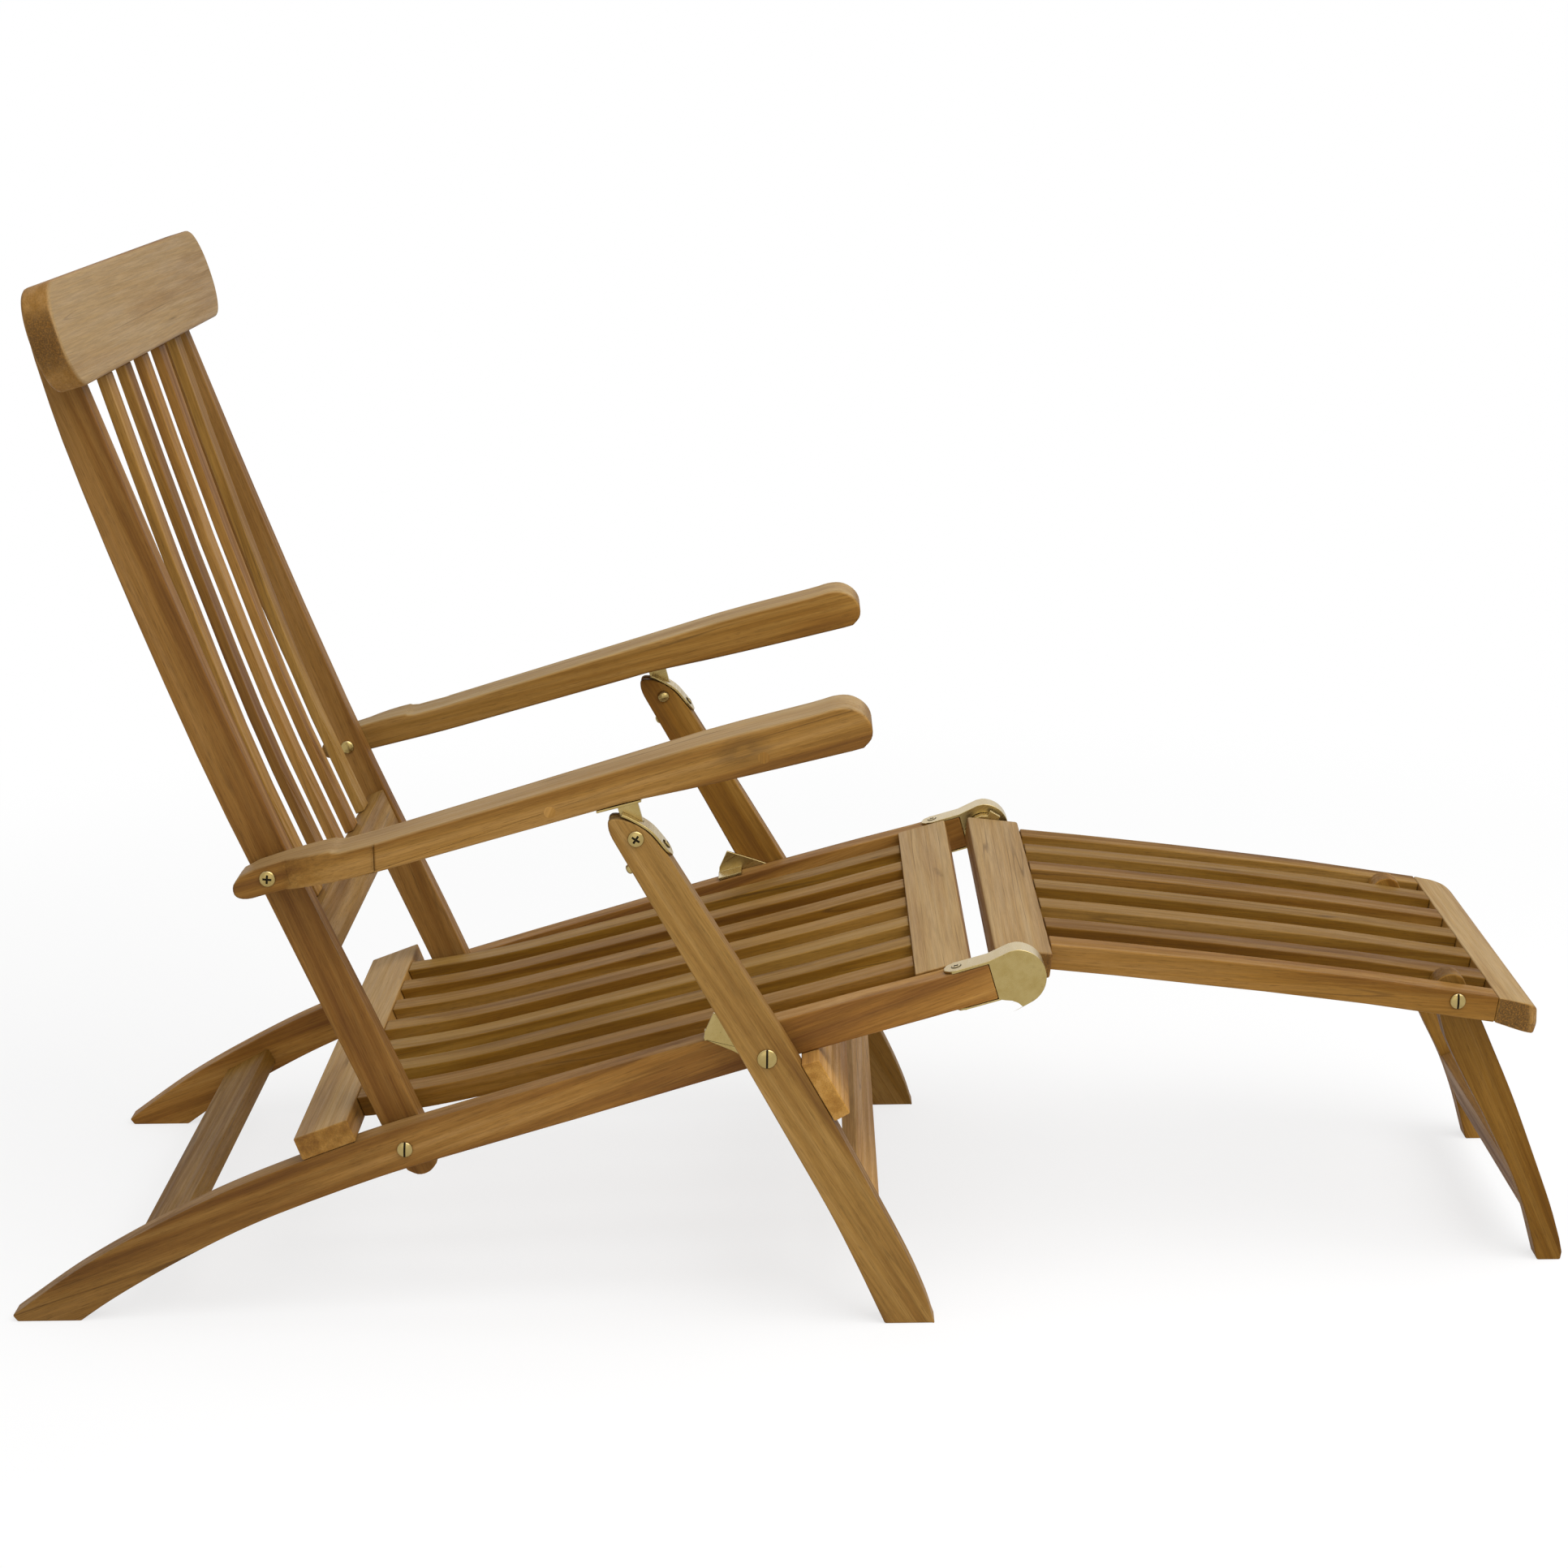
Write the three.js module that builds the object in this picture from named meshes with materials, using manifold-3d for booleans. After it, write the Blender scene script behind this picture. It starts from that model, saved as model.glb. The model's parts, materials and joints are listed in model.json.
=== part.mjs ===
import * as THREE from "three";
import { mergeVertices } from "three/addons/utils/BufferGeometryUtils.js";
import Module from "manifold-3d";

// A folding steamer deck chair in teak with brass fittings, in millimetres.
// In the side view x runs from the tip of the rear feet to the leg rest and z up from the ground.
// y runs across the chair, so every timber is a side outline given a width.

// Pivots in the side view
const backPivotX = 365;
const backPivotDepth = 21.3;
const legPivotX = 692;
const legPivotZ = 253;
const kneeX = 914;
const kneeZ = 315;
const armRearX = 258;
const armRearZ = 419;
const armFrontX = 582;
const armFrontZ = 455;
const restPivotX = 1318;
const restPivotZ = 266;
const restFootAhead = 99;

// How far the slots in the leg tops let the front legs turn
const foldAngle = THREE.MathUtils.degToRad(90);

// Gaps between pieces: seated, turning on a bolt, and past a washer
const seatGap = 0.3;
const turnGap = 0.4;
const backWasherGap = 2.5;
const legWasherGap = 4;
const restWasherGap = 2;
const overrun = 2;

// Widths across the chair
const backClearWidth = 431;
const timberThick = 25;
const armWidth = 55;
const armTailWidth = 36;
const armKinkStep = 1.5;
const headrestOverhang = 36.5;
const restWidth = 404;
const restRailThick = 28;
const restLegThick = 25;
const kneeBoardEndGap = 13;

// Depths of the timbers in the side view
const railRearDepth = 42;
const railSeatDepth = 38.4;
const railKneeDepth = 33;
const railCrownLength = 415;
const railCrown = 3.2;
const railStraightLength = 70;
const armDepth = 39;
const stileDepth = 40;
const legDepth = 42;
const restRailDepth = 24;
const restLegDepth = 32;

// Boards and slats
const rearBoardBehindPivot = 68;
const rearBoardWidth = 52;
const rearBoardThick = 22;
const frontBoardBehindKnee = 65;
const frontBoardWidth = 50;
const frontBoardThick = 22;
const frontBoardRise = 2;
const stretcherX = 123;
const stretcherWidth = 51;
const stretcherThick = 17;
const stretcherInset = 14.5;
const slatCount = 7;
const slatEndGap = 8;
const slatWidth = 31;
const slatThick = 19;
const seatDip = 7;
const slatReveal = 1.5;
const slatFrontReveal = 3;
const backSlatCount = 5;
const backSlatEndGap = 47;
const backSlatWidth = 29;
const backSlatThick = 9;
const lowerBoardThick = 18;
const headrestHeight = 90;
const headrestThick = 26;
const headrestLetIn = 5;
const crossBoardThick = 16;
const crossBoardWidth = 57;
const legStretcherThick = 15;
const legStretcherWidth = 41;
const restSlatCount = 5;
const restSlatEndGap = 1.5;
const restBoardThick = 24;
const restBoardBehindKnee = 19.5;
const restBoardAheadOfKnee = 33;
const restSlatThick = 20;
const restRailPastLeg = 21;
const restEndReach = 79;
const restEndCorner = 26;
const restStretcherThick = 14;
const restStretcherWidth = 52;

// Brass fittings
const boltRadius = 3.5;
const boltHeadRadius = 7.3;
const bigBoltHeadRadius = 9;
const boltHeadHeight = 3;
const nutRadius = 6;
const nutHeight = 5;
const plateThick = 2.2;
const kneeRadius = 26;
const kneeCheekThick = 3;
const kneeBoreRadius = 17.5;
const kneePinRadius = 4.5;
const kneeStrapLength = 40;
const kneeStrapThick = 2.8;
const kneeLowerStrapThick = 1.6;
const kneeLeafThick = 6;
const kneeLeafReach = 22;
const lugThick = 6;
const lugRadius = 9;
const armPlateBehind = 34;
const armPlateAhead = 5;
const armPlateWidth = 23;
const stopThick = 3;

// Sampling of curved edges
const curveSteps = 20;
const roundSteps = 9;

// Outlines as shares: each point is a share of the distance between two pivots and of the depth,
// positive to the left of the line that runs from the first pivot to the second
const railTopShares = [[0, 0.019], [0.072, 0.165], [0.156, 0.302], [0.239, 0.415], [0.353, 0.539],
  [0.45, 0.625]];
const railCrownShares = [[1, 1], [0.65, 1.1], [0.36, 0.6]];
const armNoseShare = 1.658;
const armTopShares = [[-0.03, 0.26], [0.061, 0.41], [0.174, 0.54], [0.295, 0.6], [1.063, 1.75],
  [1.287, 2.06], [1.503, 2.3], [1.569, 2.39], [1.611, 2.35], [1.643, 2.16], [armNoseShare, 1.9],
  [1.654, 1.62], [1.63, 1.42]];
const armBottomShares = [[1.599, 1.38], [1.38, 1.17], [1.177, 0.99], [0.983, 0.84], [0.874, 0.7],
  [0.519, 0.24], [0.298, -0.05], [0.105, -0.25], [-0.002, -0.36], [-0.064, -0.43],
  [-0.095, -0.33], [-0.097, -0.09], [-0.075, 0.12]];
const stileRearShares = [[2.845, -0.33], [2.8, -0.26], [2.678, -0.12], [2.414, 0.1], [1.9, 0.34],
  [1.311, 0.49], [0.8, 0.46], [0.3, 0.44], [-0.04, 0.43]];
const stileEndShares = [[-0.1, 0.36], [-0.128, 0.16], [-0.132, -0.1], [-0.114, -0.34]];
const stileFrontShares = [[-0.06, -0.44], [0.3, -0.45], [0.893, -0.4], [1.4, -0.46], [2, -0.62],
  [2.59, -0.84]];
const headrestFootShare = [2.611, -1.373];
const headrestHeadShare = [2.942, -1.647];
const headrestBackedShare = 0.73;
const headrestEndShare = 0.47;
const legRearShares = [[-0.108, -0.33], [-0.06, -0.42], [0.058, -0.43], [0.507, -0.44], [0.8, -0.47],
  [1, -0.48], [1.3, -0.5], [1.654, -0.54], [1.87, -0.61], [2.064, -0.7], [2.22, -0.78]];
const legBulgeShare = 0.54;
const legFrontShares = [[2.35, 0.12], [2.25, 0.2], [2.157, 0.3], [1.991, 0.4], [1.748, 0.46],
  [1.4, 0.52], [1.056, legBulgeShare], [0.7, 0.5], [0.42, 0.45], [0.27, 0.42], [0.15, 0.4],
  [0.11, 0.39]];
const legTopShares = [[0.08, 0.37], [0.035, 0.33], [0, 0.28], [-0.04, 0.18], [-0.078, 0.02],
  [-0.1, -0.12], [-0.112, -0.25]];
const strapOuterShares = [[-0.108, 0.01], [-0.083, 0.115], [-0.035, 0.275], [0.0053, 0.372],
  [0.048, 0.42], [0.085, 0.45], [0.115, 0.465], [0.13, 0.468]];
const stopShares = [[-0.224, 0.73], [-0.215, 0.92], [-0.16, 1.38], [-0.054, 0.9], [0.07, 0.3],
  [0.09, -0.3], [-0.06, -0.3], [-0.13, 0.2]];
const restTopRearShare = 0.6;
const restTopShares = [[0.25, 0.62], [0.45, 0.61], [0.627, 0.57], [0.818, 0.5], [0.973, 0.38]];
const restTopEndShare = 0.3;
const restEndTopShares = [[0.58, 0.26], [0.72, 0.21], [0.875, 0.08], [0.98, -0.2], [1, -0.5],
  [0.985, -0.8], [0.945, -1.07]];
const restLegHollowShare = -0.1;
const restLegRearShares = [[0.03, -0.48], [0.127, -0.58], [0.206, -0.555], [0.286, -0.475],
  [0.373, -0.385], [0.45, -0.29], [0.538, -0.22], [0.619, -0.14], [0.69, restLegHollowShare],
  [0.763, -0.1], [0.826, -0.12], [0.894, -0.17], [1.02, -0.28]];
const restLegFrontShares = [[1.035, 0.24], [0.993, 0.5], [0.895, 0.6], [0.82, 0.64], [0.73, 0.655],
  [0.53, 0.665], [0.42, 0.66], [0.325, 0.63], [0.237, 0.59], [0.146, 0.55], [0.03, 0.48]];
const dipShares = [[0.12, 0.75], [0.25, 1], [0.52, 0.75], [0.82, 0.4]];
const kneeCheekShares = [[-0.8, 0.84], [-0.35, 0.92], [0, 0.98]];
const kneeBeakShares = [[0.2, -0.98], [-0.09, -1.05], [-0.2, -0.88], [-0.38, -0.74], [-0.6, -0.66],
  [-0.8, -0.57]];
const kneeArcFromShare = 0.42;
const kneeArcToShare = -0.44;
const lowerBoardFromShare = 0.648;
const lowerBoardToShare = 0.803;
const lowerBoardFrontShare = -0.36;
const backSlatFrontShares = [[1.3, -0.17], [1.8, -0.405], [2.2, -0.667]];
const backSlatFootShare = -0.12;
const backSlatHeadShare = -0.98;
const legStretcherFromShare = 1.6;
const legStretcherFrontShare = 0.36;
const restStretcherFromShare = 0.65;
const restLegTopShare = 0.9;
const armKinkShare = 0.3;

// Half widths that follow from the widths above
const stileInner = backClearWidth / 2;
const stileOuter = stileInner + timberThick;
const railInner = stileOuter + backWasherGap;
const railOuter = railInner + timberThick;
const legInner = railOuter + legWasherGap;
const legOuter = legInner + timberThick;
const armInner = railInner;
const armOuter = armInner + armWidth;
const armTailOuter = armInner + armTailWidth;
const headrestEnd = armOuter + headrestOverhang;
const headrestEndRadius = headrestEndShare * headrestHeight;
const restOuter = restWidth / 2;
const restInner = restOuter - restRailThick;
const restLegOuter = restInner - restWasherGap;
const restLegInner = restLegOuter - restLegThick;
const kneeBoardEnd = railInner - kneeBoardEndGap;

// Slats are spread evenly between what stands at their sides
const slatPitch = pitchWithin(stileInner - slatEndGap, slatWidth, slatCount);
const backSlatPitch = pitchWithin(stileInner - backSlatEndGap, backSlatWidth, backSlatCount);
const restSlatPitch = pitchWithin(restLegInner - restSlatEndGap, slatWidth, restSlatCount);

// Where the seat's boards lie
const rearBoardX = backPivotX - rearBoardBehindPivot;
const frontBoardX = kneeX - frontBoardBehindKnee;
const restRailPastPivot = restLegDepth / 2 + restRailPastLeg;

const legPivot = new THREE.Vector2(legPivotX, legPivotZ);
const knee = new THREE.Vector2(kneeX, kneeZ);
const armRear = new THREE.Vector2(armRearX, armRearZ);
const armFront = new THREE.Vector2(armFrontX, armFrontZ);
const restPivot = new THREE.Vector2(restPivotX, restPivotZ);
const restFoot = new THREE.Vector2(restPivotX + restFootAhead, 0);

const teak = { color: 0x9c7038, roughness: 0.55, metalness: 0 };
const teakPale = { color: 0xac8a62, roughness: 0.6, metalness: 0 };
const brass = { color: 0xb8a05c, roughness: 0.3, metalness: 0.9 };

const wasm = await Module();
wasm.setup();

const chair = new THREE.Group();

// The pitch of slats of a width, spread from one half width to the other
function pitchWithin(half, width, count) {
  return (2 * half - width) / (count - 1);
}

// Turn a geometry into a solid for cutting and joining
function solidOf(geometry) {
  geometry.deleteAttribute("normal");
  geometry.deleteAttribute("uv");
  const merged = mergeVertices(geometry);
  const index = merged.index.array;
  const corners = [];
  for (let i = 0; i < index.length; i += 3) {
    const [a, b, c] = [index[i], index[i + 1], index[i + 2]];
    if (a !== b && b !== c && c !== a) corners.push(a, b, c);
  }
  const vertProperties = new Float32Array(merged.attributes.position.array);
  const triVerts = new Uint32Array(corners);
  return new wasm.Manifold(new wasm.Mesh({ numProp: 3, vertProperties, triVerts }));
}

// Add a finished solid to the chair as a named piece
function addPiece(name, solid, finish) {
  const mesh = solid.getMesh();
  const geometry = new THREE.BufferGeometry();
  const positions = new Float32Array(mesh.vertProperties);
  geometry.setAttribute("position", new THREE.BufferAttribute(positions, 3));
  geometry.setIndex(new THREE.BufferAttribute(new Uint32Array(mesh.triVerts), 1));
  geometry.computeVertexNormals();
  const piece = new THREE.Mesh(geometry, new THREE.MeshStandardMaterial(finish));
  piece.name = name;
  chair.add(piece);
}

// A side outline given a width from one y to another
function plank(outline, fromY, toY, holes = []) {
  const clockwise = THREE.ShapeUtils.isClockWise(outline);
  const shape = new THREE.Shape(clockwise ? outline.toReversed() : outline);
  for (const hole of holes) {
    const path = new THREE.Path();
    path.absarc(hole.at.x, hole.at.y, hole.radius, 0, 2 * Math.PI, true);
    shape.holes.push(path);
  }
  const low = Math.min(fromY, toY);
  const high = Math.max(fromY, toY);
  const settings = { depth: high - low, bevelEnabled: false, curveSegments: roundSteps };
  const geometry = new THREE.ExtrudeGeometry(shape, settings);
  geometry.rotateX(Math.PI / 2);
  geometry.translate(0, high, 0);
  return solidOf(geometry);
}

// A plan outline in x and y given a height from one z to another
function slabUp(outline, lowZ, highZ) {
  const settings = { depth: highZ - lowZ, bevelEnabled: false, curveSegments: roundSteps };
  const geometry = new THREE.ExtrudeGeometry(new THREE.Shape(outline), settings);
  geometry.translate(0, 0, lowZ);
  return solidOf(geometry);
}

// A turned piece on an axis across the chair, from a profile of radius and y
function turned(profile, centre, side) {
  const points = profile.map(([radius, y]) => new THREE.Vector2(radius, side * y));
  if (side < 0) points.reverse();
  if (points[0].y > points[points.length - 1].y) points.reverse();
  const geometry = new THREE.LatheGeometry(points, 2 * roundSteps);
  geometry.translate(centre.x, 0, centre.y);
  return solidOf(geometry);
}

// A frame on the line between two pivots, whose points are shares of its length and of a depth
function frameBetween(from, to, depth) {
  const length = from.distanceTo(to);
  const along = to.clone().sub(from).divideScalar(length);
  const left = new THREE.Vector2(-along.y, along.x);
  const point = ([share, depthShare]) => from.clone()
    .addScaledVector(along, share * length)
    .addScaledVector(left, depthShare * depth);
  const place = (distance, offset) => from.clone()
    .addScaledVector(along, distance)
    .addScaledVector(left, offset);
  const points = (shares) => shares.map(point);
  return { length, along, left, point, place, points };
}

function smooth(points, steps = curveSteps) {
  return new THREE.SplineCurve(points).getPoints(steps);
}

// The frame of a tangent on a curve of points, at a given x
function tangentAt(curve, x) {
  const next = Math.max(1, curve.findIndex((point) => point.x >= x));
  const before = curve[next - 1];
  const after = curve[next];
  const share = (x - before.x) / (after.x - before.x);
  const origin = before.clone().lerp(after, share);
  const along = after.clone().sub(before).normalize();
  const left = new THREE.Vector2(-along.y, along.x);
  const place = (distance, offset) => origin.clone()
    .addScaledVector(along, distance)
    .addScaledVector(left, offset);
  return { origin, along, left, place };
}

// A curve moved to its right by offsets that are spread evenly along it
function offsetCurve(curve, offsets) {
  return curve.map((point, i) => {
    const before = curve[Math.max(0, i - 1)];
    const after = curve[Math.min(curve.length - 1, i + 1)];
    const along = after.clone().sub(before).normalize();
    const at = (offsets.length - 1) * i / (curve.length - 1);
    const low = Math.floor(at);
    const high = Math.min(low + 1, offsets.length - 1);
    const offset = THREE.MathUtils.lerp(offsets[low], offsets[high], at - low);
    return point.clone().add(new THREE.Vector2(along.y, -along.x).multiplyScalar(offset));
  });
}

// A closed outline cut off level with the ground
function cutAtGround(outline) {
  const kept = [];
  outline.forEach((point, i) => {
    const next = outline[(i + 1) % outline.length];
    if (point.y >= 0) kept.push(point);
    if ((point.y < 0) !== (next.y < 0)) {
      const share = point.y / (point.y - next.y);
      kept.push(new THREE.Vector2(THREE.MathUtils.lerp(point.x, next.x, share), 0));
    }
  });
  return kept;
}

// A rectangle in a frame: from and to along it, low and high across it
function rectangleIn(frame, from, to, low, high) {
  return [frame.place(from, low), frame.place(to, low), frame.place(to, high), frame.place(from, high)];
}

// The curved members of the seat, whose edges carry the boards
const kneeSlope = frameBetween(legPivot, knee, timberThick);
const railTopControls = railTopShares.map(([x, z]) => new THREE.Vector2(x * kneeX, z * kneeZ));
const kneeFrame = {
  place: (distance, offset) => knee.clone()
    .addScaledVector(kneeSlope.along, distance)
    .addScaledVector(kneeSlope.left, offset),
};
const railEndAlong = kneeCheekShares[0][0] * kneeRadius - seatGap;
const railTopAtKnee = kneeCheekShares[0][1] * kneeRadius - kneeStrapThick;
for (const [share, rise] of railCrownShares) {
  railTopControls.push(kneeFrame.place(-share * railCrownLength, railTopAtKnee + rise * railCrown));
}
railTopControls.push(kneeFrame.place(-railStraightLength, railTopAtKnee));
const railTop = smooth(railTopControls, 3 * curveSteps);
const railDepths = [railRearDepth, railSeatDepth, railSeatDepth, railKneeDepth];
const railBottom = offsetCurve(railTop, railDepths);
railTop.push(kneeFrame.place(railEndAlong, railTopAtKnee));
railBottom.push(kneeFrame.place(railEndAlong, railTopAtKnee - railKneeDepth));
const backPivot = tangentAt(railTop, backPivotX).origin;
backPivot.y -= backPivotDepth;

const armLine = frameBetween(armRear, armFront, armDepth);
const armUnderside = smooth(armLine.points(armBottomShares), 2 * curveSteps);
const backLine = frameBetween(backPivot, armRear, stileDepth);
const headrestFoot = backLine.point(headrestFootShare);
const headrestLine = frameBetween(headrestFoot, backLine.point(headrestHeadShare), headrestThick);
const legLine = frameBetween(armFront, legPivot, legDepth);
const restLine = frameBetween(knee, restPivot, restRailDepth);
const restLegLine = frameBetween(restPivot, restFoot, restLegDepth);

const sides = [["right", -1], ["left", 1]];

function hole(at, radius = boltRadius + turnGap) {
  return { at, radius };
}

// Side rails, one sweep from the rear foot to the knee
function buildRails() {
  const outline = cutAtGround([...railTop, ...railBottom.toReversed()]);
  for (const [side, sign] of sides) {
    const rail = plank(outline, sign * railInner, sign * railOuter, [hole(backPivot), hole(legPivot)]);
    addPiece(`side_rail_${side}`, rail, teak);
  }
}

// Boards across the rails
function buildSeatBoards() {
  const low = tangentAt(railTop, stretcherX);
  const half = stretcherWidth / 2;
  const stretcher = rectangleIn(low, -half, half, -stretcherInset - stretcherThick, -stretcherInset);
  addPiece("rear_stretcher", plank(stretcher, -railInner + seatGap, railInner - seatGap), teak);
  addPiece("seat_rear_board", plank(rearBoardOutline(), -railOuter, railOuter), teakPale);
  const front = plank(frontBoardOutline(), -railInner + seatGap, railInner - seatGap);
  addPiece("seat_front_board", front, teakPale);
}

function rearBoardOutline() {
  const seat = tangentAt(railTop, rearBoardX);
  const half = rearBoardWidth / 2;
  return rectangleIn(seat, -half, half, seatGap, seatGap + rearBoardThick);
}

function frontBoardOutline() {
  const seat = tangentAt(railTop, frontBoardX);
  const half = frontBoardWidth / 2;
  return rectangleIn(seat, -half, half, frontBoardRise - frontBoardThick, frontBoardRise);
}

// Seat slats, dished between the two boards and cut to their edges
function buildSeatSlats() {
  const [, rearLow, rearHigh] = rearBoardOutline();
  const [frontLow, , , frontHigh] = frontBoardOutline();
  const rearEdge = frameBetween(rearHigh, rearLow, 1);
  const frontEdge = frameBetween(frontHigh, frontLow, 1);
  const start = rearEdge.place(slatReveal, seatGap);
  const end = frontEdge.place(slatFrontReveal, -seatGap);
  const chord = frameBetween(start, end, seatDip);
  const dipped = dipShares.map(([share, dip]) => chord.point([share, -dip]));
  const top = smooth([start, ...dipped, end]);
  const bottom = offsetCurve(top, [slatThick]);
  bottom[0] = rearEdge.place(slatReveal + slatThick, seatGap);
  bottom[bottom.length - 1] = frontEdge.place(slatFrontReveal + slatThick, -seatGap);
  addSlats("seat_slat", slatCount, slatPitch, slatWidth, [...top, ...bottom.toReversed()]);
}

function addSlats(name, count, pitch, width, outline) {
  for (let i = 0; i < count; i += 1) {
    const middle = (i - (count - 1) / 2) * pitch;
    const slat = plank(outline, middle - width / 2, middle + width / 2);
    addPiece(`${name}_${i + 1}`, slat, teak);
  }
}

// Back: stiles notched for the headrest, the headrest, the lower board and the slats
function buildBack() {
  const seatOffset = headrestThick + seatGap;
  const outline = [
    ...smooth(backLine.points(stileRearShares)),
    ...smooth(backLine.points(stileEndShares), curveSteps / 2),
    ...smooth(backLine.points(stileFrontShares)),
    headrestLine.place(-seatGap, headrestThick - headrestLetIn),
    headrestLine.place(-seatGap, seatOffset),
    headrestLine.place(headrestBackedShare * headrestHeight, seatOffset),
  ];
  for (const [side, sign] of sides) {
    const stile = plank(outline, sign * stileInner, sign * stileOuter, [hole(backPivot)]);
    addPiece(`back_stile_${side}`, stile, teak);
  }
  addPiece("headrest", roundedHeadrest(), teakPale);
  const board = lowerBoardOutline();
  addPiece("back_lower_board", plank(board, -stileInner + seatGap, stileInner - seatGap), teak);
  addSlats("back_slat", backSlatCount, backSlatPitch, backSlatWidth, backSlatOutline());
}

function lowerBoardOutline() {
  const front = lowerBoardFrontShare * stileDepth;
  const low = lowerBoardFromShare * backLine.length;
  const high = lowerBoardToShare * backLine.length;
  return rectangleIn(backLine, low, high, front, front + lowerBoardThick);
}

// The back slats follow the stiles' curve from the lower board to the headrest
function backSlatOutline() {
  const foot = lowerBoardToShare * backLine.length + seatGap;
  const head = headrestFootShare[0] * backLine.length - seatGap;
  const front = smooth([
    backLine.place(head, backSlatHeadShare * stileDepth),
    ...backLine.points(backSlatFrontShares.toReversed()),
    backLine.place(foot, backSlatFootShare * stileDepth),
  ], curveSteps / 2);
  const rear = offsetCurve(front, [backSlatThick]);
  rear[0] = backLine.place(head, backSlatHeadShare * stileDepth + backSlatThick);
  rear[rear.length - 1] = backLine.place(foot, backSlatFootShare * stileDepth + backSlatThick);
  return [...front, ...rear.toReversed()];
}

// The headrest is a flat board whose ends are rounded as it is seen from the front
function roundedHeadrest() {
  const outline = rectangleIn(headrestLine, 0, headrestHeight, 0, headrestThick);
  const bar = plank(outline, -headrestEnd, headrestEnd);
  const centre = headrestEnd - headrestEndRadius;
  const low = headrestEndRadius;
  const high = headrestHeight - headrestEndRadius;
  const face = new THREE.Shape();
  face.absarc(low, centre, headrestEndRadius, Math.PI, Math.PI / 2, true);
  face.absarc(high, centre, headrestEndRadius, Math.PI / 2, 0, true);
  face.absarc(high, -centre, headrestEndRadius, 0, -Math.PI / 2, true);
  face.absarc(low, -centre, headrestEndRadius, -Math.PI / 2, -Math.PI, true);
  const points = face.getPoints(roundSteps).toReversed();
  const settings = { depth: 2 * stileDepth, bevelEnabled: false };
  const geometry = new THREE.ExtrudeGeometry(new THREE.Shape(points), settings);
  geometry.translate(0, 0, -stileDepth);
  const along = new THREE.Vector3(headrestLine.along.x, 0, headrestLine.along.y);
  const across = new THREE.Vector3(0, 1, 0);
  const through = along.clone().cross(across);
  geometry.applyMatrix4(new THREE.Matrix4().makeBasis(along, across, through));
  const foot = headrestLine.place(0, 0);
  geometry.translate(foot.x, 0, foot.y);
  return bar.intersect(solidOf(geometry));
}

// Arms: the side outline met by a plan outline that narrows behind the kink
function buildArms() {
  const top = smooth(armLine.points(armTopShares), 2 * curveSteps);
  const kink = armLine.point([armKinkShare, 0]).x;
  const flare = armRearX + 2 * boltHeadRadius;
  const tail = armRearX - armDepth;
  const nose = armLine.point([armNoseShare, 1]).x + armDepth;
  for (const [side, sign] of sides) {
    const timber = plank([...top, ...armUnderside], sign * armInner, sign * armOuter, [hole(armRear)]);
    const plan = new THREE.Shape();
    plan.moveTo(tail, sign * (armInner - overrun));
    plan.lineTo(nose, sign * (armInner - overrun));
    plan.lineTo(nose, sign * (armOuter + overrun));
    plan.lineTo(kink, sign * (armOuter + overrun));
    plan.lineTo(kink - armKinkStep, sign * (armOuter - armKinkStep));
    plan.quadraticCurveTo(armRearX + armDepth, sign * (armOuter - armKinkStep), flare, sign * armTailOuter);
    plan.lineTo(tail, sign * armTailOuter);
    const arm = timber.intersect(slabUp(plan.getPoints(roundSteps), 0, 2 * armFrontZ));
    addPiece(`arm_${side}`, arm, teakPale);
  }
}

// A screw across the chair: a domed head outside and a shank that ends in the timber
function screwProfile(headY, endY, headRadius = boltHeadRadius) {
  const dome = boltHeadHeight / 3;
  return [
    [0, endY],
    [boltRadius, endY],
    [boltRadius, headY],
    [headRadius, headY],
    [headRadius, headY + dome],
    [headRadius / 2, headY + boltHeadHeight - dome / 2],
    [0, headY + boltHeadHeight],
  ];
}

// A bolt that goes right through, with a domed nut inside
function boltProfile(headY, nutY, headRadius = boltHeadRadius) {
  const [, ...shank] = screwProfile(headY, nutY, headRadius);
  return [
    [0, nutY - nutHeight],
    [nutRadius / 2, nutY - nutHeight + boltHeadHeight / 6],
    [nutRadius, nutY - nutHeight / 2],
    [nutRadius, nutY],
    ...shank,
  ];
}

function buildPivotBolts() {
  for (const [side, sign] of sides) {
    const rear = turned(boltProfile(railOuter + seatGap, stileInner - seatGap), backPivot, sign);
    addPiece(`back_pivot_bolt_${side}`, rear, brass);
    const front = boltProfile(legOuter + seatGap, railInner - seatGap, bigBoltHeadRadius);
    addPiece(`leg_pivot_bolt_${side}`, turned(front, legPivot, sign), brass);
    const armBolt = screwProfile(armTailOuter + seatGap, armInner + seatGap);
    addPiece(`arm_bolt_${side}`, turned(armBolt, armRear, sign), brass);
    const top = boltProfile(legOuter + seatGap, legInner - seatGap);
    addPiece(`leg_top_bolt_${side}`, turned(top, armFront, sign), brass);
    const rest = screwProfile(restOuter + seatGap, restLegInner + seatGap);
    addPiece(`leg_rest_bolt_${side}`, turned(rest, restPivot, sign), brass);
  }
}

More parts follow.
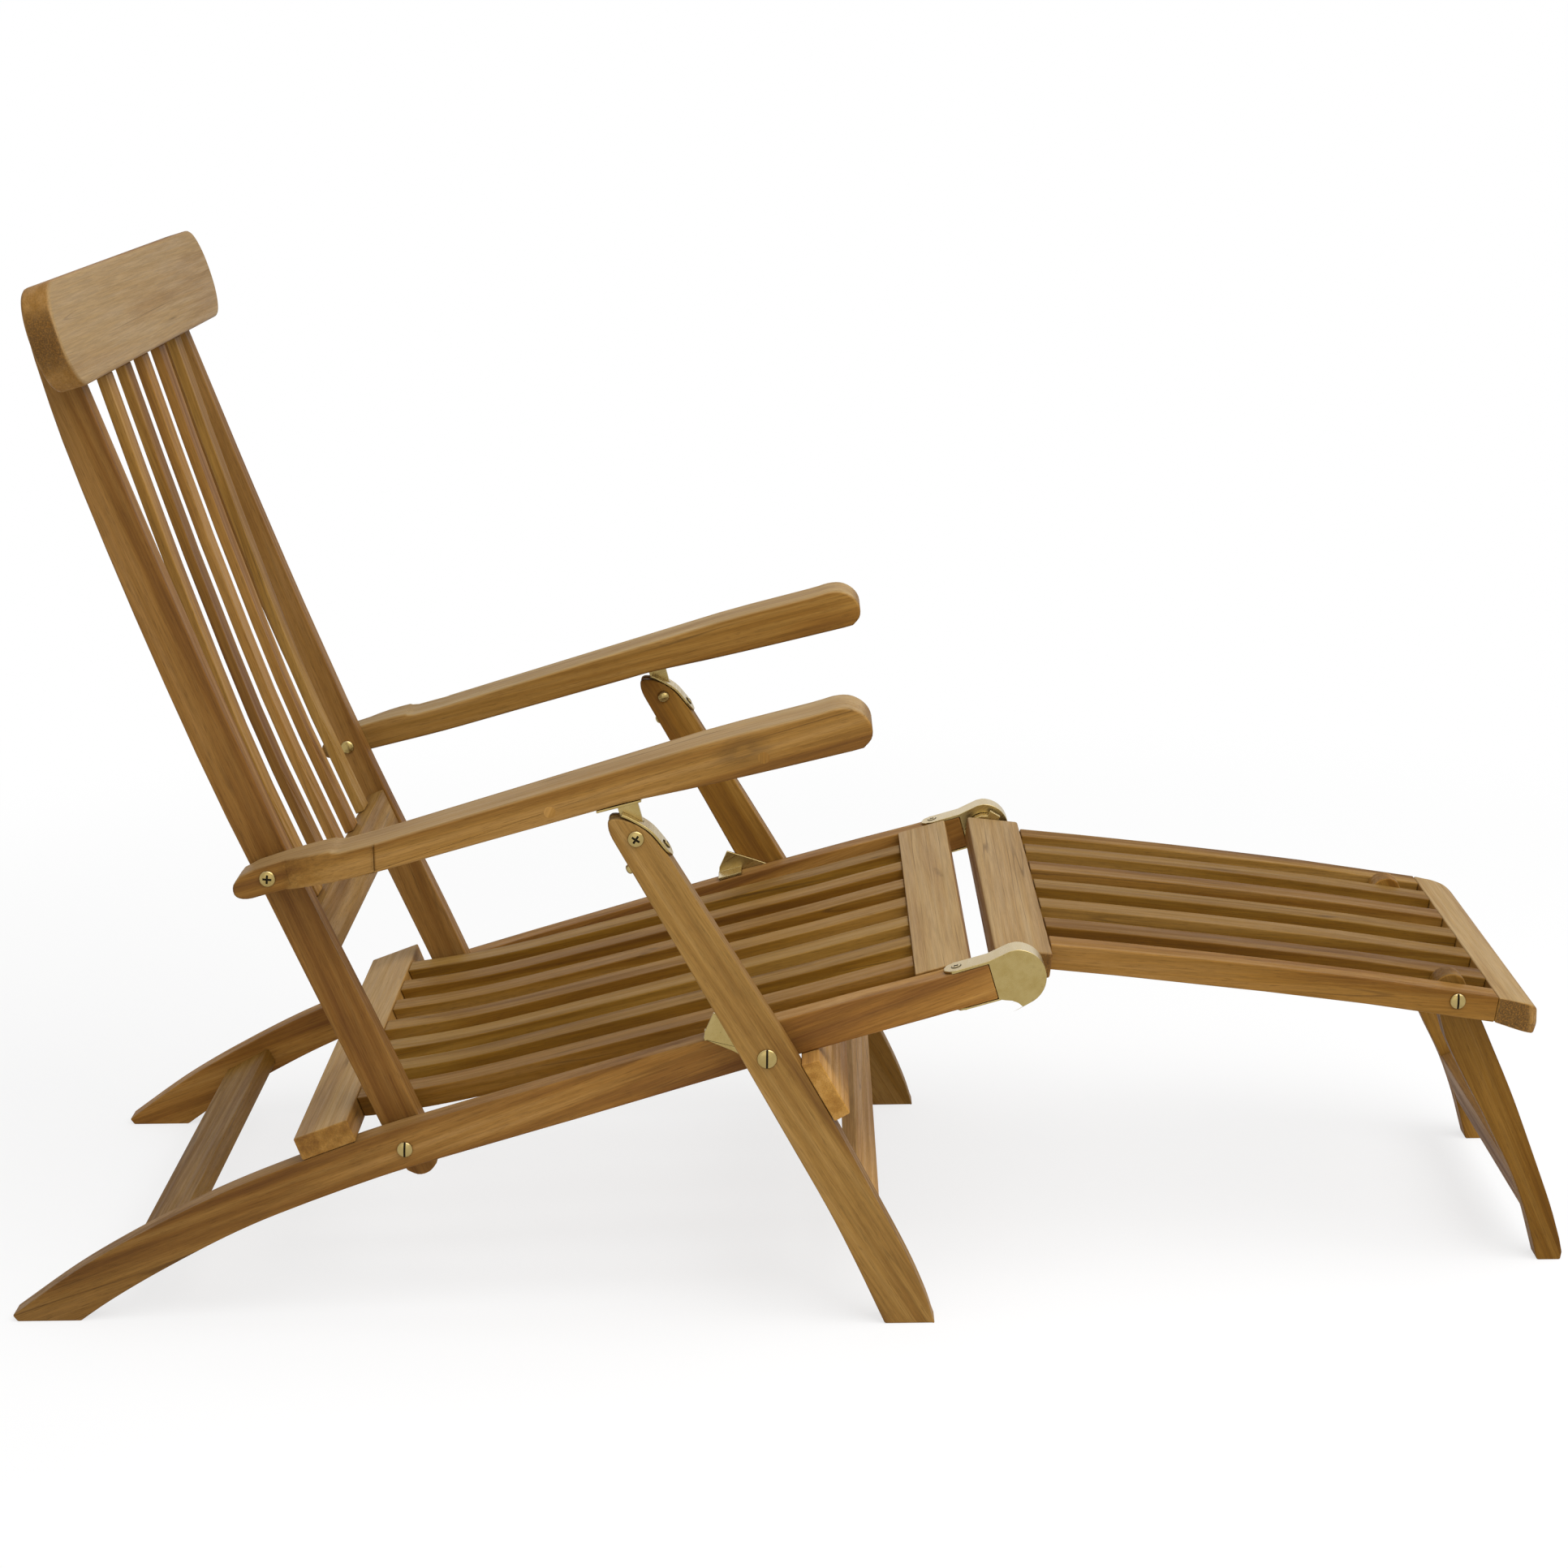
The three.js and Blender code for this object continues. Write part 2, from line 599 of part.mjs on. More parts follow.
// The slot in the leg top and its strap, in which the arm plate's lug swings as the chair folds
function lugSlot(sign) {
  const middle = (legInner + legOuter) / 2;
  const half = lugThick / 2 + turnGap;
  const { slopeAngle, under } = armSeat();
  const radius = lugRadius + turnGap;
  const reach = under + overrun;
  const swung = slopeAngle + foldAngle;
  const spoke = (angle, distance) => new THREE.Vector2(Math.cos(angle), Math.sin(angle))
    .multiplyScalar(distance);
  const at = (...spokes) => spokes.reduce((sum, part) => sum.add(part), armFront.clone());
  const round = [];
  for (let i = 0; i <= roundSteps; i += 1) {
    const angle = THREE.MathUtils.lerp(slopeAngle, swung - Math.PI, i / roundSteps);
    round.push(at(spoke(angle, radius)));
  }
  const outline = [
    at(spoke(slopeAngle, radius), spoke(slopeAngle + Math.PI / 2, reach)),
    ...round,
    at(spoke(swung - Math.PI, radius), spoke(swung + Math.PI / 2, reach)),
    at(spoke((slopeAngle + swung + Math.PI) / 2, 2 * reach)),
  ];
  return plank(outline, sign * (middle - half), sign * (middle + half));
}

// The room under the arm that its plate takes, and a clearance below it
function plateRoom(sign) {
  const seat = armSeat();
  const low = seat.under - seatGap - plateThick - turnGap;
  const room = rectangleIn(seat, seat.from - overrun, seat.to + overrun, low, low + armDepth);
  return plank(room, sign * (legInner - overrun), sign * (legOuter + overrun));
}

// Front legs with their straps, and the two boards that join them
function buildFrontLegs() {
  const outline = cutAtGround([
    ...smooth(legLine.points(legRearShares), 2 * curveSteps),
    ...smooth(legLine.points(legFrontShares), 2 * curveSteps),
    ...smooth(legLine.points(legTopShares), curveSteps / 2),
  ]);
  const outer = smooth(legLine.points(strapOuterShares), curveSteps);
  const inner = offsetCurve(outer, [plateThick]);
  for (const [side, sign] of sides) {
    const leg = plank(outline, sign * legInner, sign * legOuter, [hole(armFront), hole(legPivot)]);
    addPiece(`front_leg_${side}`, leg.subtract(lugSlot(sign)).subtract(plateRoom(sign)), teak);
    const strap = plank([...outer, ...inner.toReversed()], sign * legInner, sign * legOuter);
    const clear = strap.subtract(lugSlot(sign)).subtract(plateRoom(sign));
    addPiece(`leg_top_strap_${side}`, clear, brass);
  }
  buildCrossBoard();
  const front = legStretcherFrontShare * legDepth;
  const low = legStretcherFromShare * legLine.length;
  const stretcher = rectangleIn(legLine, low, low + legStretcherWidth, front - legStretcherThick, front);
  addPiece("front_leg_stretcher", plank(stretcher, -legInner + seatGap, legInner - seatGap), teak);
}

// The board on the legs' front edges stops under the rails and holds the chair open
function buildCrossBoard() {
  const face = legBulgeShare * legDepth + seatGap;
  const railUnder = tangentAt(railBottom, legLine.place(legLine.length, face + crossBoardThick).x);
  const topRear = meet(legLine, face, railUnder, -seatGap);
  const topFront = meet(legLine, face + crossBoardThick, railUnder, -seatGap);
  const outline = [
    legLine.place(topRear, face),
    legLine.place(topFront, face + crossBoardThick),
    legLine.place(topFront + crossBoardWidth, face + crossBoardThick),
    legLine.place(topFront + crossBoardWidth, face),
  ];
  addPiece("front_leg_cross_board", plank(outline, -legOuter, legOuter), teak);
}

// How far along a frame, at an offset, a line parallel to another frame's is met
function meet(frame, offset, other, otherOffset) {
  const start = frame.place(0, offset);
  const target = other.place(0, otherOffset);
  const gap = target.sub(start).dot(other.left);
  return gap / frame.along.dot(other.left);
}

// The underside of the arm over the leg: its slope and how far it is above the pivot
function armSeat() {
  const rising = armUnderside.toReversed();
  const rear = tangentAt(rising, armFrontX - armPlateBehind).origin;
  const front = tangentAt(rising, armFrontX + armPlateAhead).origin;
  const chord = frameBetween(rear, front, 1);
  const over = rising.filter((point) => point.x > rear.x && point.x < front.x);
  const heights = [rear, ...over, front].map((point) => point.clone().sub(armFront).dot(chord.left));
  const under = Math.min(...heights);
  const place = (distance, offset) => armFront.clone()
    .addScaledVector(chord.along, distance)
    .addScaledVector(chord.left, offset);
  const from = rear.clone().sub(armFront).dot(chord.along);
  const to = front.clone().sub(armFront).dot(chord.along);
  return { place, under, from, to, slopeAngle: chord.along.angle() };
}

// Brass under each arm, with the lug that takes the leg's pivot bolt
function buildArmPlates() {
  const seat = armSeat();
  const middle = (legInner + legOuter) / 2;
  const top = seat.under - seatGap;
  const low = top - plateThick;
  for (const [side, sign] of sides) {
    const face = rectangleIn(seat, seat.from, seat.to, low, top);
    const plate = plank(face, sign * (middle - armPlateWidth / 2), sign * (middle + armPlateWidth / 2));
    const lugLow = sign * (middle - lugThick / 2);
    const lugHigh = sign * (middle + lugThick / 2);
    const web = plank(rectangleIn(seat, -lugRadius, lugRadius, 0, low + plateThick / 2), lugLow, lugHigh);
    const eye = plank(circlePoints(armFront, lugRadius), lugLow, lugHigh);
    const bore = circlePoints(armFront, boltRadius + turnGap);
    const through = plank(bore, sign * (legInner - overrun), sign * (legOuter + overrun));
    addPiece(`arm_plate_${side}`, plate.add(web).add(eye).subtract(through), brass);
  }
}

// Brass plate behind each front leg, with a foot turned in over the rail
function buildLegStops() {
  const top = tangentAt(railTop, legPivotX);
  const place = (distance, offset) => legPivot.clone()
    .addScaledVector(top.along, distance)
    .addScaledVector(top.left, offset);
  const outline = stopShares.map(([share, across]) => (
    place(share * legLine.length, across * railKneeDepth)
  ));
  const footFrom = stopShares[0][0] * legLine.length;
  const footTo = footFrom + timberThick;
  const over = railTop.filter((point) => point.x > place(footFrom, 0).x && point.x < legPivotX);
  const heights = over.map((point) => point.clone().sub(legPivot).dot(top.left));
  const footLow = Math.max(...heights) + seatGap;
  for (const [side, sign] of sides) {
    const faceLow = sign * (railOuter + seatGap);
    const faceHigh = sign * (railOuter + seatGap + stopThick);
    const flange = plank(outline, faceLow, faceHigh, [hole(legPivot)]);
    const turnedIn = rectangleIn({ place }, footFrom, footTo, footLow, footLow + stopThick);
    const foot = plank(turnedIn, sign * (railInner + stopThick), faceHigh);
    addPiece(`leg_stop_${side}`, flange.add(foot), brass);
  }
}

// Knee hinge: a bored cheek with its straps on the rail, and a leaf whose barrel turns in the bore
function circlePoints(centre, radius) {
  return new THREE.Shape().absarc(centre.x, centre.y, radius, 0, 2 * Math.PI).getPoints(roundSteps);
}

function kneeCheekOutline() {
  const share = ([along, across]) => kneeFrame.place(along * kneeRadius, across * kneeRadius);
  const arc = [];
  for (let i = 0; i <= curveSteps; i += 1) {
    const angle = Math.PI * THREE.MathUtils.lerp(kneeArcFromShare, kneeArcToShare, i / curveSteps);
    arc.push(kneeFrame.place(Math.cos(angle) * kneeRadius, Math.sin(angle) * kneeRadius));
  }
  return [...kneeCheekShares.map(share), ...arc, ...kneeBeakShares.map(share)];
}

function kneeStrapOutline(low, high) {
  const start = kneeCheekShares[0][0] * kneeRadius;
  return rectangleIn(kneeFrame, start - kneeStrapLength, start + overrun, low, high);
}

function buildKnees() {
  const strapTop = kneeCheekShares[0][1] * kneeRadius;
  const railUnder = railTopAtKnee - railKneeDepth - seatGap;
  const leafY = kneeBoardEnd + seatGap;
  const board = restBoardOutline();
  const leafLine = frameBetween(knee, board[2].clone().lerp(board[3], 0.5), 1);
  const leafOutline = rectangleIn(leafLine, 0, kneeLeafReach, -kneeLeafThick, kneeLeafThick);
  const upperStrap = kneeStrapOutline(strapTop - kneeStrapThick + seatGap, strapTop);
  const lowerStrap = kneeStrapOutline(railUnder - kneeLowerStrapThick, railUnder);
  const cheekInner = railOuter - kneeCheekThick;
  for (const [side, sign] of sides) {
    const across = (outline, fromY, toY) => plank(outline, sign * fromY, sign * toY);
    const cheek = across(kneeCheekOutline(), railInner, railOuter);
    const bore = across(circlePoints(knee, kneeBoreRadius), railInner - overrun, cheekInner);
    const upper = across(upperStrap, railInner, railOuter);
    const lower = across(lowerStrap, railInner, railOuter);
    const pin = across(circlePoints(knee, kneePinRadius), leafY + seatGap, railOuter - kneeCheekThick / 2);
    addPiece(`knee_bracket_${side}`, cheek.add(upper).add(lower).subtract(bore).add(pin), brass);
    const barrel = across(circlePoints(knee, kneeBoreRadius - turnGap), leafY, cheekInner - turnGap);
    const leaf = across(leafOutline, leafY, leafY + kneeLeafThick);
    const eye = across(circlePoints(knee, kneePinRadius + turnGap), leafY - overrun, railOuter);
    addPiece(`leg_rest_hinge_${side}`, barrel.add(leaf).subtract(eye), brass);
  }
}

// Leg rest: a board at the knee, two curved rails, slats and a rounded end board
function restBoardOutline() {
  const top = restTopRearShare * restRailDepth;
  const rear = -restBoardBehindKnee / restLine.along.x;
  const front = restBoardAheadOfKnee / restLine.along.x;
  return [
    restLine.place(rear, top - restBoardThick),
    restLine.place(front - seatGap, top - restBoardThick),
    restLine.place(front - seatGap, top),
    restLine.place(rear, top),
  ];
}

function restStrip(thick) {
  const from = restBoardAheadOfKnee / restLine.along.x;
  const rear = restTopRearShare * restRailDepth;
  const end = restLine.place(restLine.length + restRailPastPivot, restTopEndShare * restRailDepth);
  const top = smooth([restLine.place(from, rear), ...restLine.points(restTopShares), end]);
  const bottom = offsetCurve(top, [thick]);
  bottom[0] = restLine.place(from, rear - thick);
  return [...top, ...bottom.toReversed()];
}

function buildLegRest() {
  addPiece("leg_rest_knee_board", plank(restBoardOutline(), -kneeBoardEnd, kneeBoardEnd), teakPale);
  const rail = restStrip(restRailDepth);
  for (const [side, sign] of sides) {
    const timber = plank(rail, sign * restInner, sign * restOuter, [hole(restPivot)]);
    addPiece(`leg_rest_rail_${side}`, timber, teak);
  }
  addSlats("leg_rest_slat", restSlatCount, restSlatPitch, slatWidth, restStrip(restSlatThick));
  const edge = restStrip(restRailDepth);
  const topCorner = edge[curveSteps];
  const lowCorner = edge[curveSteps + 1];
  const cut = frameBetween(topCorner, lowCorner, 1);
  const nose = smooth(restEndTopShares.map(([share, across]) => (
    restLine.place(restLine.length + share * restEndReach, across * restRailDepth)
  )));
  const outline = [cut.place(0, seatGap), ...nose, cut.place(restRailDepth, seatGap)];
  addPiece("leg_rest_end_board", roundedEnd(plank(outline, -restOuter, restOuter), nose), teakPale);
}

// The end board's outer corners are rounded as it is seen from above
function roundedEnd(board, nose) {
  const low = restPivotX;
  const high = Math.max(...nose.map((point) => point.x));
  const corner = restEndCorner;
  const plan = new THREE.Shape();
  plan.moveTo(low, -restOuter - overrun);
  plan.lineTo(high - corner, -restOuter - overrun);
  plan.lineTo(high - corner, -restOuter);
  plan.quadraticCurveTo(high, -restOuter, high, corner - restOuter);
  plan.lineTo(high, restOuter - corner);
  plan.quadraticCurveTo(high, restOuter, high - corner, restOuter);
  plan.lineTo(high - corner, restOuter + overrun);
  plan.lineTo(low, restOuter + overrun);
  return board.intersect(slabUp(plan.getPoints(roundSteps), 0, kneeZ));
}

// The leg rest's own legs and their stretcher
function buildRestLegs() {
  const rear = smooth(restLegLine.points(restLegRearShares));
  const front = smooth(restLegLine.points(restLegFrontShares));
  const top = [];
  for (let i = 1; i < curveSteps / 2; i += 1) {
    const angle = Math.PI * THREE.MathUtils.lerp(restLegTopShare, -restLegTopShare, 2 * i / curveSteps) / 2;
    const radius = restLegDepth / 2;
    top.push(restLegLine.place(-Math.cos(angle) * radius, Math.sin(angle) * radius));
  }
  const outline = cutAtGround([...rear, ...front, ...top]);
  for (const [side, sign] of sides) {
    const leg = plank(outline, sign * restLegInner, sign * restLegOuter, [hole(restPivot)]);
    addPiece(`leg_rest_leg_${side}`, leg, teak);
  }
  const low = restStretcherFromShare * restLegLine.length;
  const edge = restLegHollowShare * restLegDepth;
  const high = low + restStretcherWidth;
  const stretcher = rectangleIn(restLegLine, low, high, edge, edge + restStretcherThick);
  addPiece("leg_rest_stretcher", plank(stretcher, -restLegInner + seatGap, restLegInner - seatGap), teak);
}

buildRails();
buildSeatBoards();
buildSeatSlats();
buildBack();
buildArms();
buildPivotBolts();
buildFrontLegs();
buildArmPlates();
buildLegStops();
buildKnees();
buildLegRest();
buildRestLegs();

// Centre the chair over its footprint
const bounds = new THREE.Box3().setFromObject(chair);
chair.position.x = -(bounds.min.x + bounds.max.x) / 2;

export default chair;
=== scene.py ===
import json
import math
import random

import bmesh
import bpy
from mathutils import Matrix, Vector
from mathutils.bvhtree import BVHTree


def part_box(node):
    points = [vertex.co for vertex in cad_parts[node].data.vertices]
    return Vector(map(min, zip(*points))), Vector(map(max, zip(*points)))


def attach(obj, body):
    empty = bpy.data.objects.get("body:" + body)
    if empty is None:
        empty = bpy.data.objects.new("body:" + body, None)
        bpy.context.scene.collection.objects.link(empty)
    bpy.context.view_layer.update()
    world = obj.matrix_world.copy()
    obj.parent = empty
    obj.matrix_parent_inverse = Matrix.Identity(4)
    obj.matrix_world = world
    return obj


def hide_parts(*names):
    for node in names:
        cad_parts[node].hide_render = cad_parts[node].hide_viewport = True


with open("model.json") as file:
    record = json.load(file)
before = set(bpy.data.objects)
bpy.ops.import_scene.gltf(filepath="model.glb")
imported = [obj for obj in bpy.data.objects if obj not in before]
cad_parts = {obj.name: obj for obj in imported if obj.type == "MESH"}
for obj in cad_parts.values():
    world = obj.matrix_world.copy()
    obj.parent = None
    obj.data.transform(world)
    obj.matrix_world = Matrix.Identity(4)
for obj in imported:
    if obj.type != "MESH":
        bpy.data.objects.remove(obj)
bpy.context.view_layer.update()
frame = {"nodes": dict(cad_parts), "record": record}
nodes = frame["nodes"]
bodies = frame["record"]["behaviour"]["bodies"]
bodyOf = {node: body for body, members in bodies.items() for node in members}
slotOf = {part["node"]: part["material_slot"] for part in frame["record"]["subparts"]}
scene = bpy.context.scene
weld = 0.00001  # points closer than this are one, in metres like every length here
sides = (("right", -1), ("left", 1))
white = (1, 1, 1, 1)
print("frame loaded:", len(nodes), "nodes")


# the camera stands where the photograph was taken from; its angles are in radians
camera = {"at": (0.016554, -2.869401, 1.151025), "yaw": -0.008316, "pitch": 0.247067, "roll": -0.016490,
          "lens": 70.807, "sensor": 36, "clipEnd": 50}


def placeCamera():
    ahead = Vector((math.sin(camera["yaw"]), math.cos(camera["yaw"]), 0))
    right = Vector((math.cos(camera["yaw"]), -math.sin(camera["yaw"]), 0))
    up = Vector((0, 0, 1))
    look = ahead * math.cos(camera["pitch"]) - up * math.sin(camera["pitch"])
    rise = up * math.cos(camera["pitch"]) + ahead * math.sin(camera["pitch"])
    side = right * math.cos(camera["roll"]) + rise * math.sin(camera["roll"])
    top = rise * math.cos(camera["roll"]) - right * math.sin(camera["roll"])
    data = bpy.data.cameras.new("camera")
    data.lens = camera["lens"]
    data.sensor_width = camera["sensor"]
    data.clip_end = camera["clipEnd"]
    made = bpy.data.objects.new("camera", data)
    scene.collection.objects.link(made)
    turn = Matrix((side, top, -look)).transposed()
    made.matrix_world = Matrix.Translation(camera["at"]) @ turn.to_4x4()
    scene.camera = made


placeCamera()


# shader helpers
def addNode(tree, kind, values=None, **settings):
    made = tree.nodes.new(kind)
    for key, value in settings.items():
        setattr(made, key, value)
    for key, value in (values or {}).items():
        if isinstance(value, bpy.types.NodeSocket):
            tree.links.new(value, made.inputs[key])
        else:
            made.inputs[key].default_value = value
    return made


def newMaterial(name):
    made = bpy.data.materials.new(name)
    made.use_nodes = True
    tree = made.node_tree
    return made, tree, tree.nodes["Principled BSDF"]


def solid(colour):
    return (*colour, 1)


def blendColours(tree, factor, first, second):
    return addNode(tree, "ShaderNodeMix", {0: factor, 6: first, 7: second}, data_type="RGBA").outputs[2]


def sums(tree, way, first, second=0.0, clamp=False):
    return addNode(tree, "ShaderNodeMath", {0: first, 1: second}, operation=way, use_clamp=clamp).outputs[0]


def vectorSums(tree, way, first, second):
    return addNode(tree, "ShaderNodeVectorMath", {0: first, 1: second}, operation=way).outputs


def lengthOf(tree, vector):
    return addNode(tree, "ShaderNodeVectorMath", {0: vector}, operation="LENGTH").outputs["Value"]


def rampOf(tree, factor, stops):
    ramp = addNode(tree, "ShaderNodeValToRGB", {"Fac": factor})
    points = ramp.color_ramp.elements
    while len(points) < len(stops):
        points.new(0.5)
    for point, (place, colour) in zip(points, stops):
        point.position = place
        point.color = solid(colour)
    return ramp.outputs["Color"]


def rangeOf(tree, value, low, high, toLow=0.0, toHigh=1.0):
    made = addNode(tree, "ShaderNodeMapRange", {"Value": value, "From Min": low, "From Max": high,
                                                "To Min": toLow, "To Max": toHigh})
    made.interpolation_type = "SMOOTHSTEP"
    return made.outputs["Result"]


def stretched(tree, vector, scale):
    return addNode(tree, "ShaderNodeMapping", {"Vector": vector, "Scale": scale}).outputs["Vector"]


def noiseOf(tree, vector, texture):
    scale, detail, roughness, distortion = texture
    made = addNode(tree, "ShaderNodeTexNoise", {
        "Vector": stretched(tree, vector, scale), "Scale": 1.0, "Detail": detail, "Roughness": roughness,
        "Distortion": distortion})
    return made.outputs["Fac"]


def attributeOf(tree, name, output):
    return addNode(tree, "ShaderNodeAttribute", attribute_name=name).outputs[output]


def placeOf(tree, output):
    return addNode(tree, "ShaderNodeTexCoord").outputs[output]


def pointiness(tree):
    return addNode(tree, "ShaderNodeNewGeometry").outputs["Pointiness"]


def bumpFrom(tree, shader, height, strength, distance):
    bump = addNode(tree, "ShaderNodeBump", {"Strength": strength, "Distance": distance, "Height": height})
    tree.links.new(bump.outputs["Normal"], shader.inputs["Normal"])


# oiled teak; a texture is its scale along, across and through the grain, its detail, its
# roughness and its distortion, and a range runs from two values read to two values given
teakLook = {
    "light": (0.345, 0.188, 0.052), "gold": (0.280, 0.142, 0.029), "brown": (0.205, 0.093, 0.015),
    "dark": (0.125, 0.050, 0.009), "mark": (0.055, 0.024, 0.007), "pore": (0.085, 0.038, 0.009),
    "bleach": (0.338, 0.229, 0.102), "endGrain": (0.085, 0.043, 0.011),
    "rings": {"Scale": 26, "Distortion": 4.0, "Detail": 3.0, "Detail Scale": 0.7, "Detail Roughness": 0.55},
    "ringStretch": (0.05, 1, 1),
    "bands": ((1.1, 30, 30), 2, 0.5, 0.3), "streaks": ((3.6, 150, 150), 4, 0.62, 0),
    "patches": ((2.6, 15, 15), 3, 0.5, 0.4), "fibres": ((16, 800, 800), 2, 0.6, 0),
    "pores": ((75, 2000, 2000), 2, 0.5, 0), "lines": ((1.3, 62, 62), 1, 0.4, 0),
    "lineRests": ((3, 20, 20), 2, 0.55, 0), "blotches": ((9, 42, 42), 3, 0.55, 0.5),
    "speckle": ((700, 700, 700), 2, 0.55, 0),
    "ringShare": 0.13, "bandShare": 0.40, "streakShare": 0.19, "patchShare": 0.28, "shareRange": (0.35, 0.65),
    "stops": {"light": 0.06, "gold": 0.38, "brown": 0.64, "dark": 0.94},
    "poreRange": (0.56, 0.70, 0.0, 0.42),
    "bleachRange": (0.12, 1.0, 0.0, 0.92), "bleachGrain": (0.2, 0.95, 0.0, 0.40),
    "lineMiddle": 0.5, "lineRange": (0.013, 0.001, 0.0, 0.50), "restRange": (0.48, 0.60),
    "blotchRange": (0.67, 0.82, 0.0, 0.45),
    "knotStretch": (0.5, 1, 1), "knotWaver": (0.2, 0.8, -0.004, 0.004),
    "knotRange": (0.017, 0.003, 0.0, 0.42), "knotHeart": (0.0045, 0.002, 0.0, 0.55),
    "endRange": (0.74, 0.96), "speckleRange": (0.4, 0.7),
    "wornRange": (0.52, 0.60, 0.0, 0.14), "fibreRange": (0.30, 0.70, 1.13, 0.88),
    "roughRange": (0.3, 0.7, 0.50, 0.68), "poreRough": 0.25, "specular": 0.12,
    "streakHeight": 0.6, "bumpStrength": 0.35, "bumpDistance": 0.0003,
}


def teakMaterial():
    made, tree, shader = newMaterial("teak")
    look = teakLook
    grain = attributeOf(tree, "grain", "Vector")
    normal = placeOf(tree, "Normal")

    # growth rings run round the length of each piece and waver slowly along it
    ringInputs = {"Vector": stretched(tree, grain, look["ringStretch"]), **look["rings"]}
    rings = addNode(tree, "ShaderNodeTexWave", ringInputs, wave_type="RINGS", rings_direction="X",
                    wave_profile="SIN").outputs["Fac"]
    bands = noiseOf(tree, grain, look["bands"])
    streaks = noiseOf(tree, grain, look["streaks"])
    patches = noiseOf(tree, grain, look["patches"])
    body = sums(tree, "MULTIPLY", rings, look["ringShare"])
    for value, share in ((bands, "bandShare"), (streaks, "streakShare"), (patches, "patchShare")):
        body = sums(tree, "ADD", body, rangeOf(tree, value, *look["shareRange"], 0.0, look[share]))
    colour = rampOf(tree, body, [(place, look[name]) for name, place in look["stops"].items()])
    poreAmount = rangeOf(tree, noiseOf(tree, grain, look["pores"]), *look["poreRange"])
    colour = blendColours(tree, poreAmount, colour, solid(look["pore"]))

    # faces that lie to the sky have lost some of their oil
    facing = vectorSums(tree, "DOT_PRODUCT", normal, attributeOf(tree, "sky", "Vector"))["Value"]
    bleached = rangeOf(tree, facing, *look["bleachRange"])
    bleach = blendColours(tree, rangeOf(tree, body, *look["bleachGrain"]), solid(look["bleach"]), colour)
    colour = blendColours(tree, bleached, colour, bleach)

    # a few thin dark lines, where a growth ring meets the face, and small blotches
    lines = sums(tree, "SUBTRACT", noiseOf(tree, grain, look["lines"]), look["lineMiddle"])
    lines = rangeOf(tree, sums(tree, "ABSOLUTE", lines), *look["lineRange"])
    rests = rangeOf(tree, noiseOf(tree, grain, look["lineRests"]), *look["restRange"])
    colour = blendColours(tree, sums(tree, "MULTIPLY", lines, rests), colour, solid(look["mark"]))
    blotches = rangeOf(tree, noiseOf(tree, grain, look["blotches"]), *look["blotchRange"])
    colour = blendColours(tree, blotches, colour, solid(look["mark"]))

    # a knot sits where the piece has one
    away = vectorSums(tree, "SUBTRACT", grain, attributeOf(tree, "knot", "Vector"))[0]
    away = lengthOf(tree, stretched(tree, away, look["knotStretch"]))
    away = sums(tree, "ADD", away, rangeOf(tree, streaks, *look["knotWaver"]))
    colour = blendColours(tree, rangeOf(tree, away, *look["knotRange"]), colour, solid(look["mark"]))
    colour = blendColours(tree, rangeOf(tree, away, *look["knotHeart"]), colour, solid(look["gold"]))

    # the sawn ends are darker and speckled
    ends = vectorSums(tree, "DOT_PRODUCT", normal, attributeOf(tree, "along", "Vector"))["Value"]
    endAmount = rangeOf(tree, sums(tree, "ABSOLUTE", ends), *look["endRange"])
    endAmount = sums(tree, "MULTIPLY", endAmount, attributeOf(tree, "end", "Fac"))
    speckle = rangeOf(tree, noiseOf(tree, grain, look["speckle"]), *look["speckleRange"])
    endColour = blendColours(tree, speckle, solid(look["endGrain"]), solid(look["brown"]))
    colour = blendColours(tree, endAmount, colour, endColour)

    # handling lightens the rounded edges a little, and the fibres shade the whole
    worn = rangeOf(tree, pointiness(tree), *look["wornRange"])
    colour = blendColours(tree, worn, colour, solid(look["light"]))
    fibres = rangeOf(tree, noiseOf(tree, grain, look["fibres"]), *look["fibreRange"])
    # the tone attribute gives each piece's shade, partly its own colour and partly painted light and shade
    value = sums(tree, "MULTIPLY", attributeOf(tree, "tone", "Fac"), fibres)
    colour = addNode(tree, "ShaderNodeHueSaturation", {
        "Hue": attributeOf(tree, "warmth", "Fac"), "Saturation": attributeOf(tree, "depth", "Fac"),
        "Value": value, "Color": colour}).outputs["Color"]
    tree.links.new(colour, shader.inputs["Base Color"])

    rough = rangeOf(tree, streaks, *look["roughRange"])
    rough = sums(tree, "ADD", rough, sums(tree, "MULTIPLY", poreAmount, look["poreRough"]), True)
    tree.links.new(rough, shader.inputs["Roughness"])
    height = sums(tree, "SUBTRACT", sums(tree, "MULTIPLY", streaks, look["streakHeight"]), poreAmount)
    bumpFrom(tree, shader, height, look["bumpStrength"], look["bumpDistance"])
    shader.inputs["Specular IOR Level"].default_value = look["specular"]
    return made
